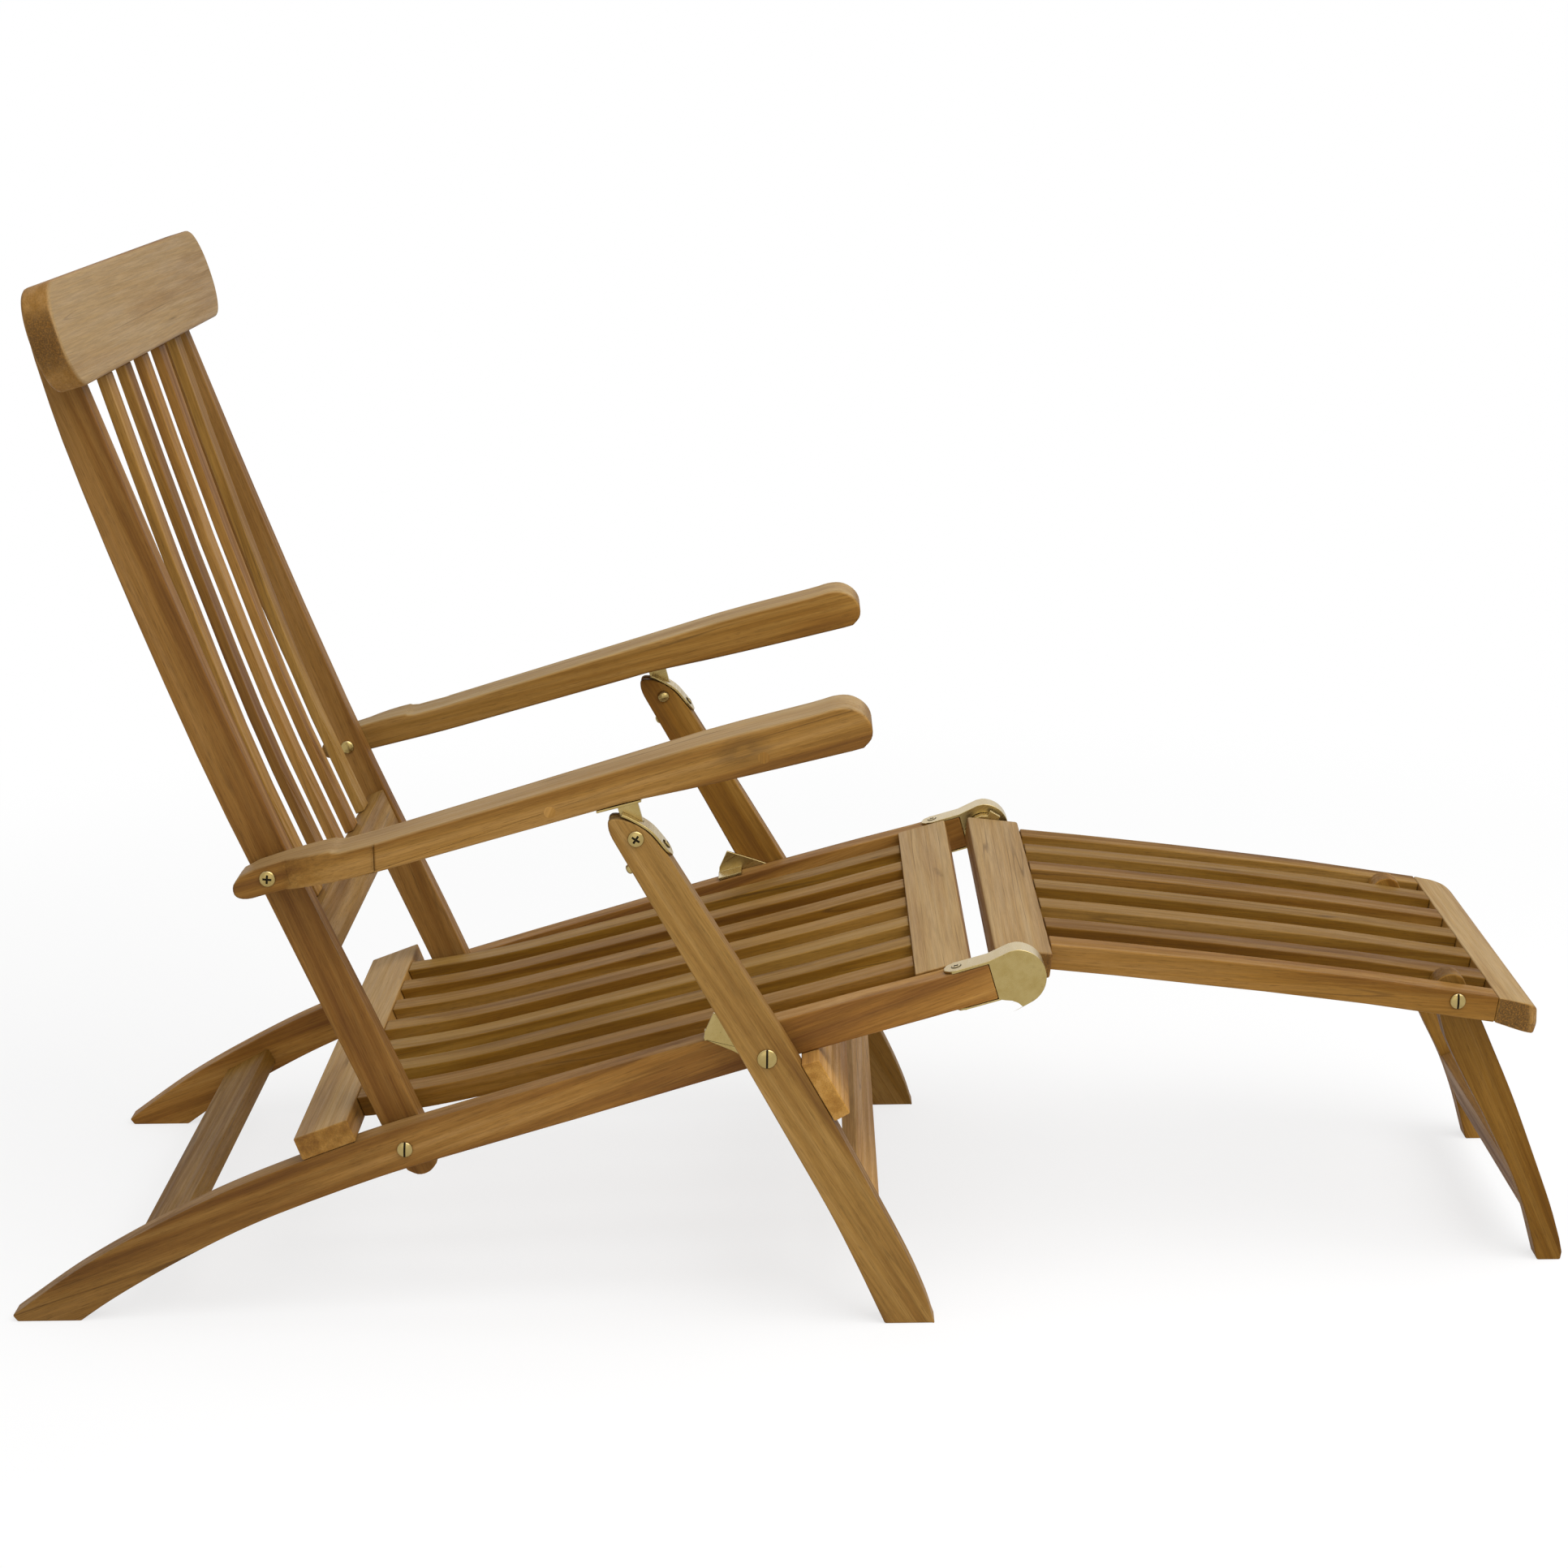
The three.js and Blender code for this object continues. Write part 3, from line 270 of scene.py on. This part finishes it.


# worn brass with a painted sheen of the light above where it faces up, dull in its hollows, and darkened in
# its slots with grime and painted shade
brassLook = {
    "bright": (0.400, 0.302, 0.120), "warm": (0.345, 0.248, 0.084), "tarnish": (0.150, 0.108, 0.040),
    "paintedTopSheen": (0.620, 0.500, 0.290), "grimeAndPaintedShade": (0.030, 0.022, 0.012),
    "lean": (0, 0.6, 0.3), "scratches": ((30, 30, 700), 3, 0.6, 0), "patches": ((60, 60, 60), 4, 0.6, 0),
    "spots": ((330, 330, 330), 2, 0.5, 0),
    "stops": {"warm": 0.32, "bright": 0.58},
    "dullRange": (0.62, 0.80, 0.0, 0.5), "spotRange": (0.72, 0.80, 0.0, 0.6),
    "scratchRange": (0.66, 0.76, 0.0, 0.35), "upRange": (0.45, 0.95, 0.0, 0.8),
    "hollowRange": (0.49, 0.42, 0.0, 0.6),
    "roughRange": (0.35, 0.70, 0.26, 0.38), "dullRough": 0.35, "grimeRough": 0.3,
    "bumpStrength": 0.08, "bumpDistance": 0.0001, "metallic": 1.0,
}


def brassMaterial():
    made, tree, shader = newMaterial("brass")
    look = brassLook
    place = placeOf(tree, "Object")
    leaning = addNode(tree, "ShaderNodeMapping", {"Vector": place, "Rotation": look["lean"]})
    scratches = noiseOf(tree, leaning.outputs["Vector"], look["scratches"])
    patches = noiseOf(tree, place, look["patches"])
    spots = noiseOf(tree, place, look["spots"])
    colour = rampOf(tree, patches, [(stop, look[name]) for name, stop in look["stops"].items()])
    dull = rangeOf(tree, patches, *look["dullRange"])
    # slot faces carry grime and painted shade, and the gaps round screw heads carry painted shade
    grimeAndPaintedShade = attributeOf(tree, "grimeAndPaintedShade", "Fac")
    upward = addNode(tree, "ShaderNodeSeparateXYZ", {"Vector": placeOf(tree, "Normal")}).outputs["Z"]
    # faces that point up get a painted highlight of the light from above
    layers = [(dull, "tarnish"), (rangeOf(tree, spots, *look["spotRange"]), "tarnish"),
              (rangeOf(tree, scratches, *look["scratchRange"]), "warm"),
              (rangeOf(tree, upward, *look["upRange"]), "paintedTopSheen"),
              (rangeOf(tree, pointiness(tree), *look["hollowRange"]), "tarnish"), (grimeAndPaintedShade, "grimeAndPaintedShade")]
    for amount, name in layers:
        colour = blendColours(tree, amount, colour, solid(look[name]))
    tree.links.new(colour, shader.inputs["Base Color"])
    rough = rangeOf(tree, scratches, *look["roughRange"])
    rough = sums(tree, "ADD", rough, sums(tree, "MULTIPLY", dull, look["dullRough"]), True)
    rough = sums(tree, "ADD", rough, sums(tree, "MULTIPLY", grimeAndPaintedShade, look["grimeRough"]), True)
    tree.links.new(rough, shader.inputs["Roughness"])
    bumpFrom(tree, shader, scratches, look["bumpStrength"], look["bumpDistance"])
    shader.inputs["Metallic"].default_value = look["metallic"]
    return made


materialOf = {"teak": teakMaterial(), "brass": brassMaterial()}
print("materials made")


# pieces are rounded copies of the CAD nodes that they stand for; angles in degrees
edges = {"flat": 0.6, "sharp": 32, "pointed": 112, "shadeTimber": 40, "shadeTurned": 35, "weight": 50}


def cleanCopy(node):
    bm = bmesh.new()
    bm.from_mesh(nodes[node].data)
    bmesh.ops.remove_doubles(bm, verts=bm.verts, dist=weld)
    bmesh.ops.dissolve_limit(bm, angle_limit=math.radians(edges["flat"]), verts=bm.verts, edges=bm.edges)
    return bm


def finishPiece(bm, name, body, slot, sharp, replaced=()):
    mesh = bpy.data.meshes.new(name)
    bm.to_mesh(mesh)
    bm.free()
    mesh.materials.append(materialOf[slot])
    mesh.shade_smooth()
    piece = bpy.data.objects.new(name, mesh)
    scene.collection.objects.link(piece)
    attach(piece, body)
    if replaced:
        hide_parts(*replaced)
    mesh.set_sharp_from_angle(angle=math.radians(sharp))
    weigh = piece.modifiers.new("weighted normals", "WEIGHTED_NORMAL")
    weigh.keep_sharp = True
    weigh.weight = edges["weight"]


def middleOf(node):
    low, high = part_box(node)
    return (low + high) / 2


def distanceInSide(point, centre):
    return math.hypot(point.x - centre.x, point.z - centre.z)


def roundEdges(bm, width, segments, centres=(), keepAway=0):
    chosen = []
    for edge in bm.edges:
        if len(edge.link_faces) != 2:
            continue
        if not math.radians(edges["sharp"]) <= edge.calc_face_angle(0) <= math.radians(edges["pointed"]):
            continue
        middle = (edge.verts[0].co + edge.verts[1].co) / 2
        if all(distanceInSide(middle, centre) > keepAway for centre in centres):
            chosen.append(edge)
    bmesh.ops.bevel(bm, geom=chosen, offset=width, offset_type="OFFSET", affect="EDGES", segments=segments,
                    profile=0.5, material=-1, clamp_overlap=False, miter_outer="SHARP")


# each timber has the width of its rounding, its shade, which is partly the wood's own colour and partly
# painted light and shade, and toneAheadPaintedLight, the shade at its front end, which paints a gradient
# of light along the piece, its hue and saturation, how far the side to the sky has bleached, how dark its
# ends are, and a knot
usual = {"sky": (0, 0, 1), "warmth": 0.5, "depth": 1.0, "end": 0.6}
timber = {
    "headrest": {"width": 0.0035, "tone": 0.80, "sky": (0.93, 0, 0.37), "bleach": 1.0, "end": 0.75,
                 "knot": (-0.6075, -0.3345, 0.8916)},
    "arm": {"width": 0.0026, "tone": 0.92, "bleach": 0.95, "knot": (-0.0398, -0.298, 0.5324)},
    "arm_left": {"width": 0.0026, "tone": 0.86, "toneAheadPaintedLight": 1.12, "bleach": 0.95},
    "side_rail": {"width": 0.0015, "tone": 0.66, "toneAheadPaintedLight": 1.19, "warmth": 0.498, "depth": 0.995,
                  "bleach": 0.45},
    "side_rail_left": {"width": 0.0015, "tone": 1.06, "toneAheadPaintedLight": 0.95, "warmth": 0.499, "depth": 1.01,
                       "bleach": 0.45},
    "back_stile": {"width": 0.0015, "tone": 0.72, "toneAheadPaintedLight": 0.84, "warmth": 0.491, "bleach": 0.3},
    "front_leg": {"width": 0.0015, "tone": 0.98, "depth": 0.97, "bleach": 0.4},
    "front_leg_left": {"width": 0.0015, "tone": 1.14, "toneAheadPaintedLight": 0.78, "depth": 1.02, "bleach": 0.4},
    "front_leg_cross": {"width": 0.0015, "tone": 1.48, "bleach": 0.4, "end": 0.2},
    "front_leg_stretcher": {"width": 0.0015, "tone": 1.55, "bleach": 0.8},
    "leg_rest_leg": {"width": 0.0015, "tone": 0.65, "warmth": 0.494, "depth": 1.05, "bleach": 0.3},
    "leg_rest_leg_left": {"width": 0.0015, "tone": 0.95, "depth": 1.03, "bleach": 0.3},
    "leg_rest_rail": {"width": 0.0015, "tone": 0.80, "depth": 1.03, "bleach": 0.3},
    "seat_slat": {"width": 0.0013, "tone": 0.79, "warmth": 0.498, "depth": 1.06, "bleach": 0.50},
    "leg_rest_slat": {"width": 0.0013, "tone": 0.65, "warmth": 0.498, "depth": 1.06, "bleach": 0.42},
    "back_slat": {"width": 0.0010, "tone": 0.95, "bleach": 0.3},
    "seat_front_board": {"width": 0.0015, "tone": 1.0, "bleach": 1.0},
    "leg_rest_knee_board": {"width": 0.0025, "tone": 0.98, "bleach": 1.0},
    "leg_rest_end_board": {"width": 0.0018, "tone": 0.96, "bleach": 0.9, "end": 0.95},
    "seat_rear_board": {"width": 0.0015, "tone": 1.12, "bleach": 0.75, "end": 0.2,
                        "knot": (-0.4005, -0.27, 0.2067)},
    "rear_stretcher": {"width": 0.0015, "tone": 0.70, "depth": 1.03, "bleach": 0.2},
    "plain": {"width": 0.0015, "tone": 0.82, "bleach": 0.4},
}
edgeSegments = 3
pivotNodes = ["back_pivot_bolt_right", "leg_pivot_bolt_right", "arm_bolt_right", "leg_top_bolt_right",
              "leg_rest_bolt_right"]
pivots = [middleOf(node) for node in pivotNodes]
pivotClear = 0.0085  # edges closer than this to a pivot stay as they are

# how a piece is cut from the log: lean of its grain, distance to the tree's heart, and
# how far its place, shade and hue may stray
log = {"lean": 0.025, "heartNear": 0.03, "heartFar": 0.09, "along": 4, "tone": 0.04, "warmth": 0.004,
       "timberSeed": 100, "plugSeed": 300, "noKnot": (50, 50, 50)}
crosswise = {"share": 1.2, "heightShare": 0.4, "least": 0.2}  # a board this much wider than long lies across
linePoints = 160  # about as many points are compared to find a timber's length


def styleOf(node):
    fitting = [name for name in timber if node.startswith(name)]
    return timber[max(fitting, key=len)] if fitting else timber["plain"]


def longestLine(points):
    far = (0, points[0], points[0])
    for i, one in enumerate(points):
        for other in points[i + 1:]:
            gap = (one - other).length_squared
            if gap > far[0]:
                far = (gap, one, other)
    return (far[2] - far[1]).normalized()


def grainFrame(bm, tilt):
    points = [vert.co.copy() for vert in bm.verts]
    low = Vector([min(point[i] for point in points) for i in range(3)])
    high = Vector([max(point[i] for point in points) for i in range(3)])
    size = high - low
    least = max(crosswise["least"], crosswise["share"] * max(size.x, crosswise["heightShare"] * size.z))
    if size.y > least:
        along = Vector((0, 1, 0))
    else:
        step = max(1, len(points) // linePoints)
        along = longestLine([Vector((point.x, 0, point.z)) for point in points[::step]])
    side = Vector((0, 1, 0)) if abs(along.y) < 0.5 else Vector((1, 0, 0))
    third = along.cross(side).normalized()
    side = third.cross(along).normalized()
    lean = Matrix.Rotation(tilt[0], 3, "Y") @ Matrix.Rotation(tilt[1], 3, "Z")
    return lean @ Matrix((along, side, third)), along, (low + high) / 2


def layGrain(bm, seed, style):
    style = {**usual, **style}
    dice = random.Random(seed)
    tilt = (dice.uniform(-log["lean"], log["lean"]), dice.uniform(-log["lean"], log["lean"]))
    turn, along, middle = grainFrame(bm, tilt)
    angle = dice.uniform(0, 2 * math.pi)
    heart = dice.uniform(log["heartNear"], log["heartFar"])
    start = dice.uniform(-log["along"], log["along"])
    shift = Vector((start, heart * math.cos(angle), heart * math.sin(angle)))
    knot = turn @ (Vector(style["knot"]) - middle) + shift if "knot" in style else Vector(log["noKnot"])
    sky = Vector(style["sky"]) * style["bleach"]
    vectors = {name: bm.verts.layers.float_vector.new(name) for name in ("grain", "along", "sky", "knot")}
    floats = {name: bm.verts.layers.float.new(name) for name in ("tone", "warmth", "depth", "end")}
    # the shade is partly the wood's own colour and partly painted light and shade, and it runs along the
    # piece to its front end as a painted gradient of light
    tone = style["tone"] * dice.uniform(1 - log["tone"], 1 + log["tone"])
    paintedLightChange = style.get("toneAheadPaintedLight", style["tone"]) / style["tone"] - 1
    rear = min(vert.co.x for vert in bm.verts)
    front = max(vert.co.x for vert in bm.verts)
    warmth = style["warmth"] + dice.uniform(-log["warmth"], log["warmth"])
    for vert in bm.verts:
        vert[vectors["grain"]] = turn @ (vert.co - middle) + shift
        vert[vectors["along"]] = along
        vert[vectors["sky"]] = sky
        vert[vectors["knot"]] = knot
        vert[floats["tone"]] = tone * (1 + paintedLightChange * (vert.co.x - rear) / (front - rear))
        vert[floats["depth"]] = style["depth"]
        vert[floats["end"]] = style["end"]
        vert[floats["warmth"]] = warmth


def dressTimbers():
    count = 0
    for number, node in enumerate(sorted(nodes)):
        if slotOf[node] != "teak":
            continue
        style = styleOf(node)
        bm = cleanCopy(node)
        roundEdges(bm, style["width"], edgeSegments, pivots, pivotClear)
        layGrain(bm, log["timberSeed"] + number, style)
        finishPiece(bm, f"{node}_wood", bodyOf[node], "teak", edges["shadeTimber"], [node])
        count += 1
    print("timbers dressed:", count)


dressTimbers()


# brass fittings cut from plate; each strap's tip points the way given and is rounded
plate = {"width": 0.0005, "segments": 2, "tipRows": 7, "tipEnd": 0.3, "rowGap": 0.0004}
tipWays = {"knee_bracket": (-0.963, 0, -0.269), "leg_top_strap": (0.494, 0, -0.869)}


def roundTip(bm, way):
    way = Vector(way).normalized()
    reach = max(way.dot(vert.co) for vert in bm.verts)
    tip = [vert.co.y for vert in bm.verts if way.dot(vert.co) > reach - plate["rowGap"]]
    middle, half = (max(tip) + min(tip)) / 2, (max(tip) - min(tip)) / 2
    for row in range(1, plate["tipRows"] + 1):
        inset = half * (1 - math.cos(0.5 * math.pi * row / plate["tipRows"]))
        if all(abs(reach - way.dot(vert.co) - inset) > plate["rowGap"] for vert in bm.verts):
            bmesh.ops.bisect_plane(bm, geom=bm.verts[:] + bm.edges[:] + bm.faces[:], dist=weld,
                                   plane_co=way * (reach - inset), plane_no=way)
    for vert in bm.verts:
        inset = reach - way.dot(vert.co)
        if inset < half:
            share = math.sqrt(max(1 - (1 - inset / half) ** 2, plate["tipEnd"] ** 2))
            vert.co.y = middle + (vert.co.y - middle) * share


def dressPlates():
    count = 0
    for node in sorted(nodes):
        if slotOf[node] != "brass" or "bolt" in node:
            continue
        bm = cleanCopy(node)
        for name, way in tipWays.items():
            if node.startswith(name):
                roundTip(bm, way)
        roundEdges(bm, plate["width"], plate["segments"])
        finishPiece(bm, f"{node}_brass", bodyOf[node], "brass", edges["shadeTimber"], [node])
        count += 1
    print("plates dressed:", count)


dressPlates()


# bolts, nuts and screws are turned about Y, then slotted
def turnProfile(profile, steps):
    bm = bmesh.new()
    verts = [bm.verts.new((radius, y, 0)) for radius, y in profile]
    outline = [bm.edges.new(pair) for pair in zip(verts, verts[1:])]
    bmesh.ops.spin(bm, geom=verts + outline, cent=(0, 0, 0), axis=(0, 1, 0), angle=2 * math.pi, steps=steps,
                   use_merge=True, use_duplicate=False)
    bmesh.ops.remove_doubles(bm, verts=bm.verts, dist=weld)
    bmesh.ops.recalc_face_normals(bm, faces=bm.faces)
    return bm


dome = {"rimShare": 0.6, "fullness": 0.9, "boltSteps": 7, "smallSteps": 5}


def domeProfile(radius, base, height, rim, steps):
    edge = base + rim * dome["rimShare"]
    top = base + height
    points = [(radius, base), (radius, edge)]
    for i in range(1, steps):
        angle = 0.5 * math.pi * i / steps
        points.append((radius * math.cos(angle), edge + (top - edge) * math.sin(angle) ** dome["fullness"]))
    return points + [(0, top)]


def meshOf(bm, name):
    mesh = bpy.data.meshes.new(name)
    bm.to_mesh(mesh)
    bm.free()
    made = bpy.data.objects.new(name, mesh)
    scene.collection.objects.link(made)
    return made


def cutWith(bm, cutters):
    body = meshOf(bm, "cutBody")
    tools = [meshOf(cutter, "cutTool") for cutter in cutters]
    for tool in tools:
        cut = body.modifiers.new("cut", "BOOLEAN")
        cut.operation = "DIFFERENCE"
        cut.solver = "EXACT"
        cut.object = tool
    shaped = body.evaluated_get(bpy.context.evaluated_depsgraph_get())
    result = bmesh.new()
    result.from_mesh(shaped.to_mesh())
    for made in [body, *tools]:
        mesh = made.data
        bpy.data.objects.remove(made)
        bpy.data.meshes.remove(mesh)
    return result


def slotCutter(size, top, turn):
    bm = bmesh.new()
    bmesh.ops.create_cube(bm, size=1.0)
    bmesh.ops.scale(bm, vec=size, verts=bm.verts)
    bmesh.ops.rotate(bm, cent=(0, 0, 0), matrix=Matrix.Rotation(turn, 3, "Y"), verts=bm.verts)
    bmesh.ops.translate(bm, vec=(0, top, 0), verts=bm.verts)
    return bm


def paintGrimeAndShade(face, grimeAndPaintedShade, amount):
    for loop in face.loops:
        loop[grimeAndPaintedShade] = amount


def cutSlots(bm, width, depth, length, top, turns):
    bm = cutWith(bm, [slotCutter((width, depth * 2, length), top, turn) for turn in turns])
    # the faces inside the slots are darkened, partly with grime and partly with painted shade in the recess
    grimeAndPaintedShade = bm.loops.layers.float.new("grimeAndPaintedShade")
    for turn in turns:
        back = Matrix.Rotation(-turn, 3, "Y")
        for face in bm.faces:
            corners = [back @ vert.co for vert in face.verts]
            if all(abs(corner.x) < width / 2 + weld and abs(corner.z) < length / 2 + weld
                   and corner.y > top - depth - weld for corner in corners):
                paintGrimeAndShade(face, grimeAndPaintedShade, 1.0)
    return bm


# the profile of a nut is written in shares of its radius and height
bolt = {"height": 0.003, "rim": 0.0011, "shank": 0.0035, "plainEnd": 0.0006, "nutRadius": 0.006,
        "nutHeight": 0.005, "slotWidth": 0.0019, "slotDepth": 0.0019, "crossLength": 1.1, "slotLength": 2.4,
        "steps": 40}
nutShares = [(0, 0), (0.5, 0.1), (0.86, 0.32), (1, 0.62), (1, 1)]
boltKinds = {
    "back_pivot_bolt": {"turns": [0.06], "nut": True},
    "leg_pivot_bolt": {"turns": [0.03], "nut": True},
    "arm_bolt": {"turns": [0.1, 1.67], "nut": False},
    "leg_top_bolt": {"turns": [0.6, 2.17], "nut": True},
    "leg_rest_bolt": {"turns": [0.02], "nut": False},
}


def boltProfile(radius, reach, nutted):
    headBase = reach - bolt["height"]
    shankStart = bolt["nutHeight"] if nutted else bolt["plainEnd"]
    profile = [(0, 0)]
    if nutted:
        profile = [(bolt["nutRadius"] * out, bolt["nutHeight"] * up) for out, up in nutShares]
    profile += [(bolt["shank"], shankStart), (bolt["shank"], headBase)]
    return profile + domeProfile(radius, headBase, bolt["height"], bolt["rim"], dome["boltSteps"])


def buildBolts():
    for kind, style in boltKinds.items():
        for side, sign in sides:
            node = f"{kind}_{side}"
            low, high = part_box(node)
            centre = (low + high) / 2
            radius = (high.x - low.x) / 2
            reach = high.y - low.y
            length = radius * bolt["crossLength" if len(style["turns"]) > 1 else "slotLength"]
            bm = turnProfile(boltProfile(radius, reach, style["nut"]), bolt["steps"])
            bm = cutSlots(bm, bolt["slotWidth"], bolt["slotDepth"], length, reach, style["turns"])
            start = low.y if sign > 0 else high.y
            if sign < 0:
                bmesh.ops.scale(bm, vec=(1, -1, 1), verts=bm.verts)
                bmesh.ops.reverse_faces(bm, faces=bm.faces)
            bmesh.ops.translate(bm, vec=(centre.x, start, centre.z), verts=bm.verts)
            bmesh.ops.recalc_face_normals(bm, faces=bm.faces)
            finishPiece(bm, f"{node}_brass", bodyOf[node], "brass", edges["shadeTurned"], [node])
    print("bolts made")


buildBolts()


# small screws, nuts and plugs sit on the face of the piece that carries them;
# a place is given for the left side and mirrored to the right
small = {
    "screw": {"radius": 0.0040, "proud": 0.0008, "sunk": 0.0016, "gap": 0.0009, "steps": 28,
              "crossWidth": 0.0014, "crossDepth": 0.0012, "crossLength": 0.0056},
    "rivet": {"radius": 0.0040, "proud": 0.0019, "sunk": 0.0010, "gap": 0.0007, "steps": 28,
              "crossWidth": 0.0012, "crossDepth": 0.0012, "crossLength": 0.0054},
    "stud": {"radius": 0.0044, "proud": 0.0044, "sunk": 0.0010, "steps": 24},
    "end": {"radius": 0.0026, "proud": 0.0150, "sunk": 0.0010, "steps": 20},
    "collar": {"radius": 0.0056, "proud": 0.0042, "sunk": 0.0002, "steps": 28},
    "nut": {"radius": 0.0068, "proud": 0.0042, "sunk": 0.0004, "steps": 28},
    "plug": {"radius": 0.0052, "proud": 0.0003, "sunk": 0.0020, "steps": 28},
}
# the darkness put in the gap round a screw head is painted shade
fit = {"rise": 0.0002, "rimShare": 0.6, "gapStart": 0.98, "gapPaintedShade": 0.85}
plugStyle = {"tone": 1.12, "bleach": 0.3}
smallPlaces = {
    "knee_screw": {"kind": "screw", "node": "knee_bracket", "at": (0.1445, 0.2555, 0.3240), "turn": 0.4},
    "strap_screw": {"kind": "rivet", "node": "leg_top_strap", "at": (-0.1052, 0.2845, 0.4490), "turn": 0.2},
    "leg_screw": {"kind": "stud", "node": "front_leg", "at": (-0.1404, 0.2900, 0.4262)},
    "rest_bolt_end": {"kind": "end", "node": "leg_rest_leg", "at": (0.602349, 0.1465, 0.266)},
    "rest_bolt_collar": {"kind": "collar", "node": "leg_rest_leg", "at": (0.602349, 0.1465, 0.266)},
    "arm_nut": {"kind": "nut", "node": "back_stile", "at": (-0.45765, 0.2150, 0.4190)},
    "rear_plug": {"kind": "plug", "node": "arm", "at": (-0.2074, 0.2985, 0.4802)},
    "front_plug": {"kind": "plug", "node": "arm", "at": (-0.0219, 0.2985, 0.5257)},
}


def seatOn(node, point):
    bm = cleanCopy(node)
    place, normal = BVHTree.FromBMesh(bm).find_nearest(point)[:2]
    bm.free()
    return place, normal


# the ring of gap round a screw head is darkened with painted shade
def paintGapShade(bm, radius):
    grimeAndPaintedShade = bm.loops.layers.float["grimeAndPaintedShade"]
    for face in bm.faces:
        if all(math.hypot(vert.co.x, vert.co.z) > radius * fit["gapStart"] for vert in face.verts):
            paintGrimeAndShade(face, grimeAndPaintedShade, fit["gapPaintedShade"])


def turnSmall(size, place):
    gap = size.get("gap", 0)
    rise = fit["rise"] if gap else 0.0
    profile = [(0, -size["sunk"]), (size["radius"] + gap, -size["sunk"])]
    if gap:
        profile.append((size["radius"] + gap, rise))
    rim = size["proud"] * fit["rimShare"]
    profile += domeProfile(size["radius"], rise, size["proud"] - rise, rim, dome["smallSteps"])
    bm = turnProfile(profile, size["steps"])
    if "crossWidth" in size:
        turns = [place["turn"], place["turn"] + math.pi / 2]
        bm = cutSlots(bm, size["crossWidth"], size["crossDepth"], size["crossLength"], size["proud"], turns)
        paintGapShade(bm, size["radius"])
    return bm


def buildSmall():
    for number, (name, place) in enumerate(smallPlaces.items()):
        slot = "teak" if place["kind"] == "plug" else "brass"
        for side, sign in sides:
            node = f"{place['node']}_{side}"
            x, y, z = place["at"]
            seat, normal = seatOn(node, Vector((x, sign * y, z)))
            bm = turnSmall(small[place["kind"]], place)
            turn = Vector((0, 1, 0)).rotation_difference(normal).to_matrix()
            bmesh.ops.rotate(bm, cent=(0, 0, 0), matrix=turn, verts=bm.verts)
            bmesh.ops.translate(bm, vec=seat, verts=bm.verts)
            bmesh.ops.recalc_face_normals(bm, faces=bm.faces)
            if slot == "teak":
                layGrain(bm, log["plugSeed"] + number, plugStyle)
            finishPiece(bm, f"{name}_{side}", bodyOf[node], slot, edges["shadeTurned"])
    print("small fasteners made")


buildSmall()


# plain pale floor that fades to white, under soft lamps
studio = {"floor": (0.90, 0.90, 0.90), "floorRough": 0.9, "floorGlow": 0.72, "fadeFrom": 0.9, "fadeTo": 2.2,
          "floorSize": 14, "ambient": 0.56}
lamps = {"key": {"power": 108, "size": 3.2, "at": (1.2, -1.1, 3.1), "towards": (0, 0, 0.3)},
         "fill": {"power": 13, "size": 2.6, "at": (-0.4, -3.8, 1.3), "towards": (0, 0, 0.4)}}


def paleRays(tree):
    path = addNode(tree, "ShaderNodeLightPath").outputs
    seen = sums(tree, "MAXIMUM", path["Is Camera Ray"], path["Is Glossy Ray"])
    return sums(tree, "MAXIMUM", seen, path["Is Transmission Ray"])


def floorMaterial():
    made, tree, shader = newMaterial("floor")
    shader.inputs["Base Color"].default_value = solid(studio["floor"])
    shader.inputs["Roughness"].default_value = studio["floorRough"]
    shader.inputs["Specular IOR Level"].default_value = 0.0
    reach = lengthOf(tree, placeOf(tree, "Object"))
    fade = rangeOf(tree, reach, studio["fadeFrom"], studio["fadeTo"], studio["floorGlow"], 1.0)
    fade = sums(tree, "MULTIPLY", fade, paleRays(tree))
    glow = addNode(tree, "ShaderNodeEmission", {"Color": white, "Strength": 1.0})
    mixed = addNode(tree, "ShaderNodeMixShader", {0: fade, 1: shader.outputs[0], 2: glow.outputs[0]})
    tree.links.new(mixed.outputs[0], tree.nodes["Material Output"].inputs["Surface"])
    return made


def layFloor():
    bm = bmesh.new()
    bmesh.ops.create_grid(bm, x_segments=1, y_segments=1, size=studio["floorSize"])
    floor = meshOf(bm, "floor")
    floor.data.materials.append(floorMaterial())


def lightWorld():
    world = bpy.data.worlds.new("studio")
    world.use_nodes = True
    scene.world = world
    tree = world.node_tree
    strength = addNode(tree, "ShaderNodeMapRange", {
        "Value": paleRays(tree), "To Min": studio["ambient"], "To Max": 1.0}).outputs["Result"]
    background = tree.nodes["Background"]
    background.inputs["Color"].default_value = white
    tree.links.new(strength, background.inputs["Strength"])


def hangLamps():
    for name, lamp in lamps.items():
        data = bpy.data.lights.new(name, "AREA")
        data.energy = lamp["power"]
        data.shape = "SQUARE"
        data.size = lamp["size"]
        made = bpy.data.objects.new(name, data)
        scene.collection.objects.link(made)
        made.location = lamp["at"]
        aim = Vector(lamp["towards"]) - Vector(lamp["at"])
        made.rotation_euler = aim.to_track_quat("-Z", "Y").to_euler()


layFloor()
lightWorld()
hangLamps()
scene.view_settings.view_transform = "Standard"
print("studio set")

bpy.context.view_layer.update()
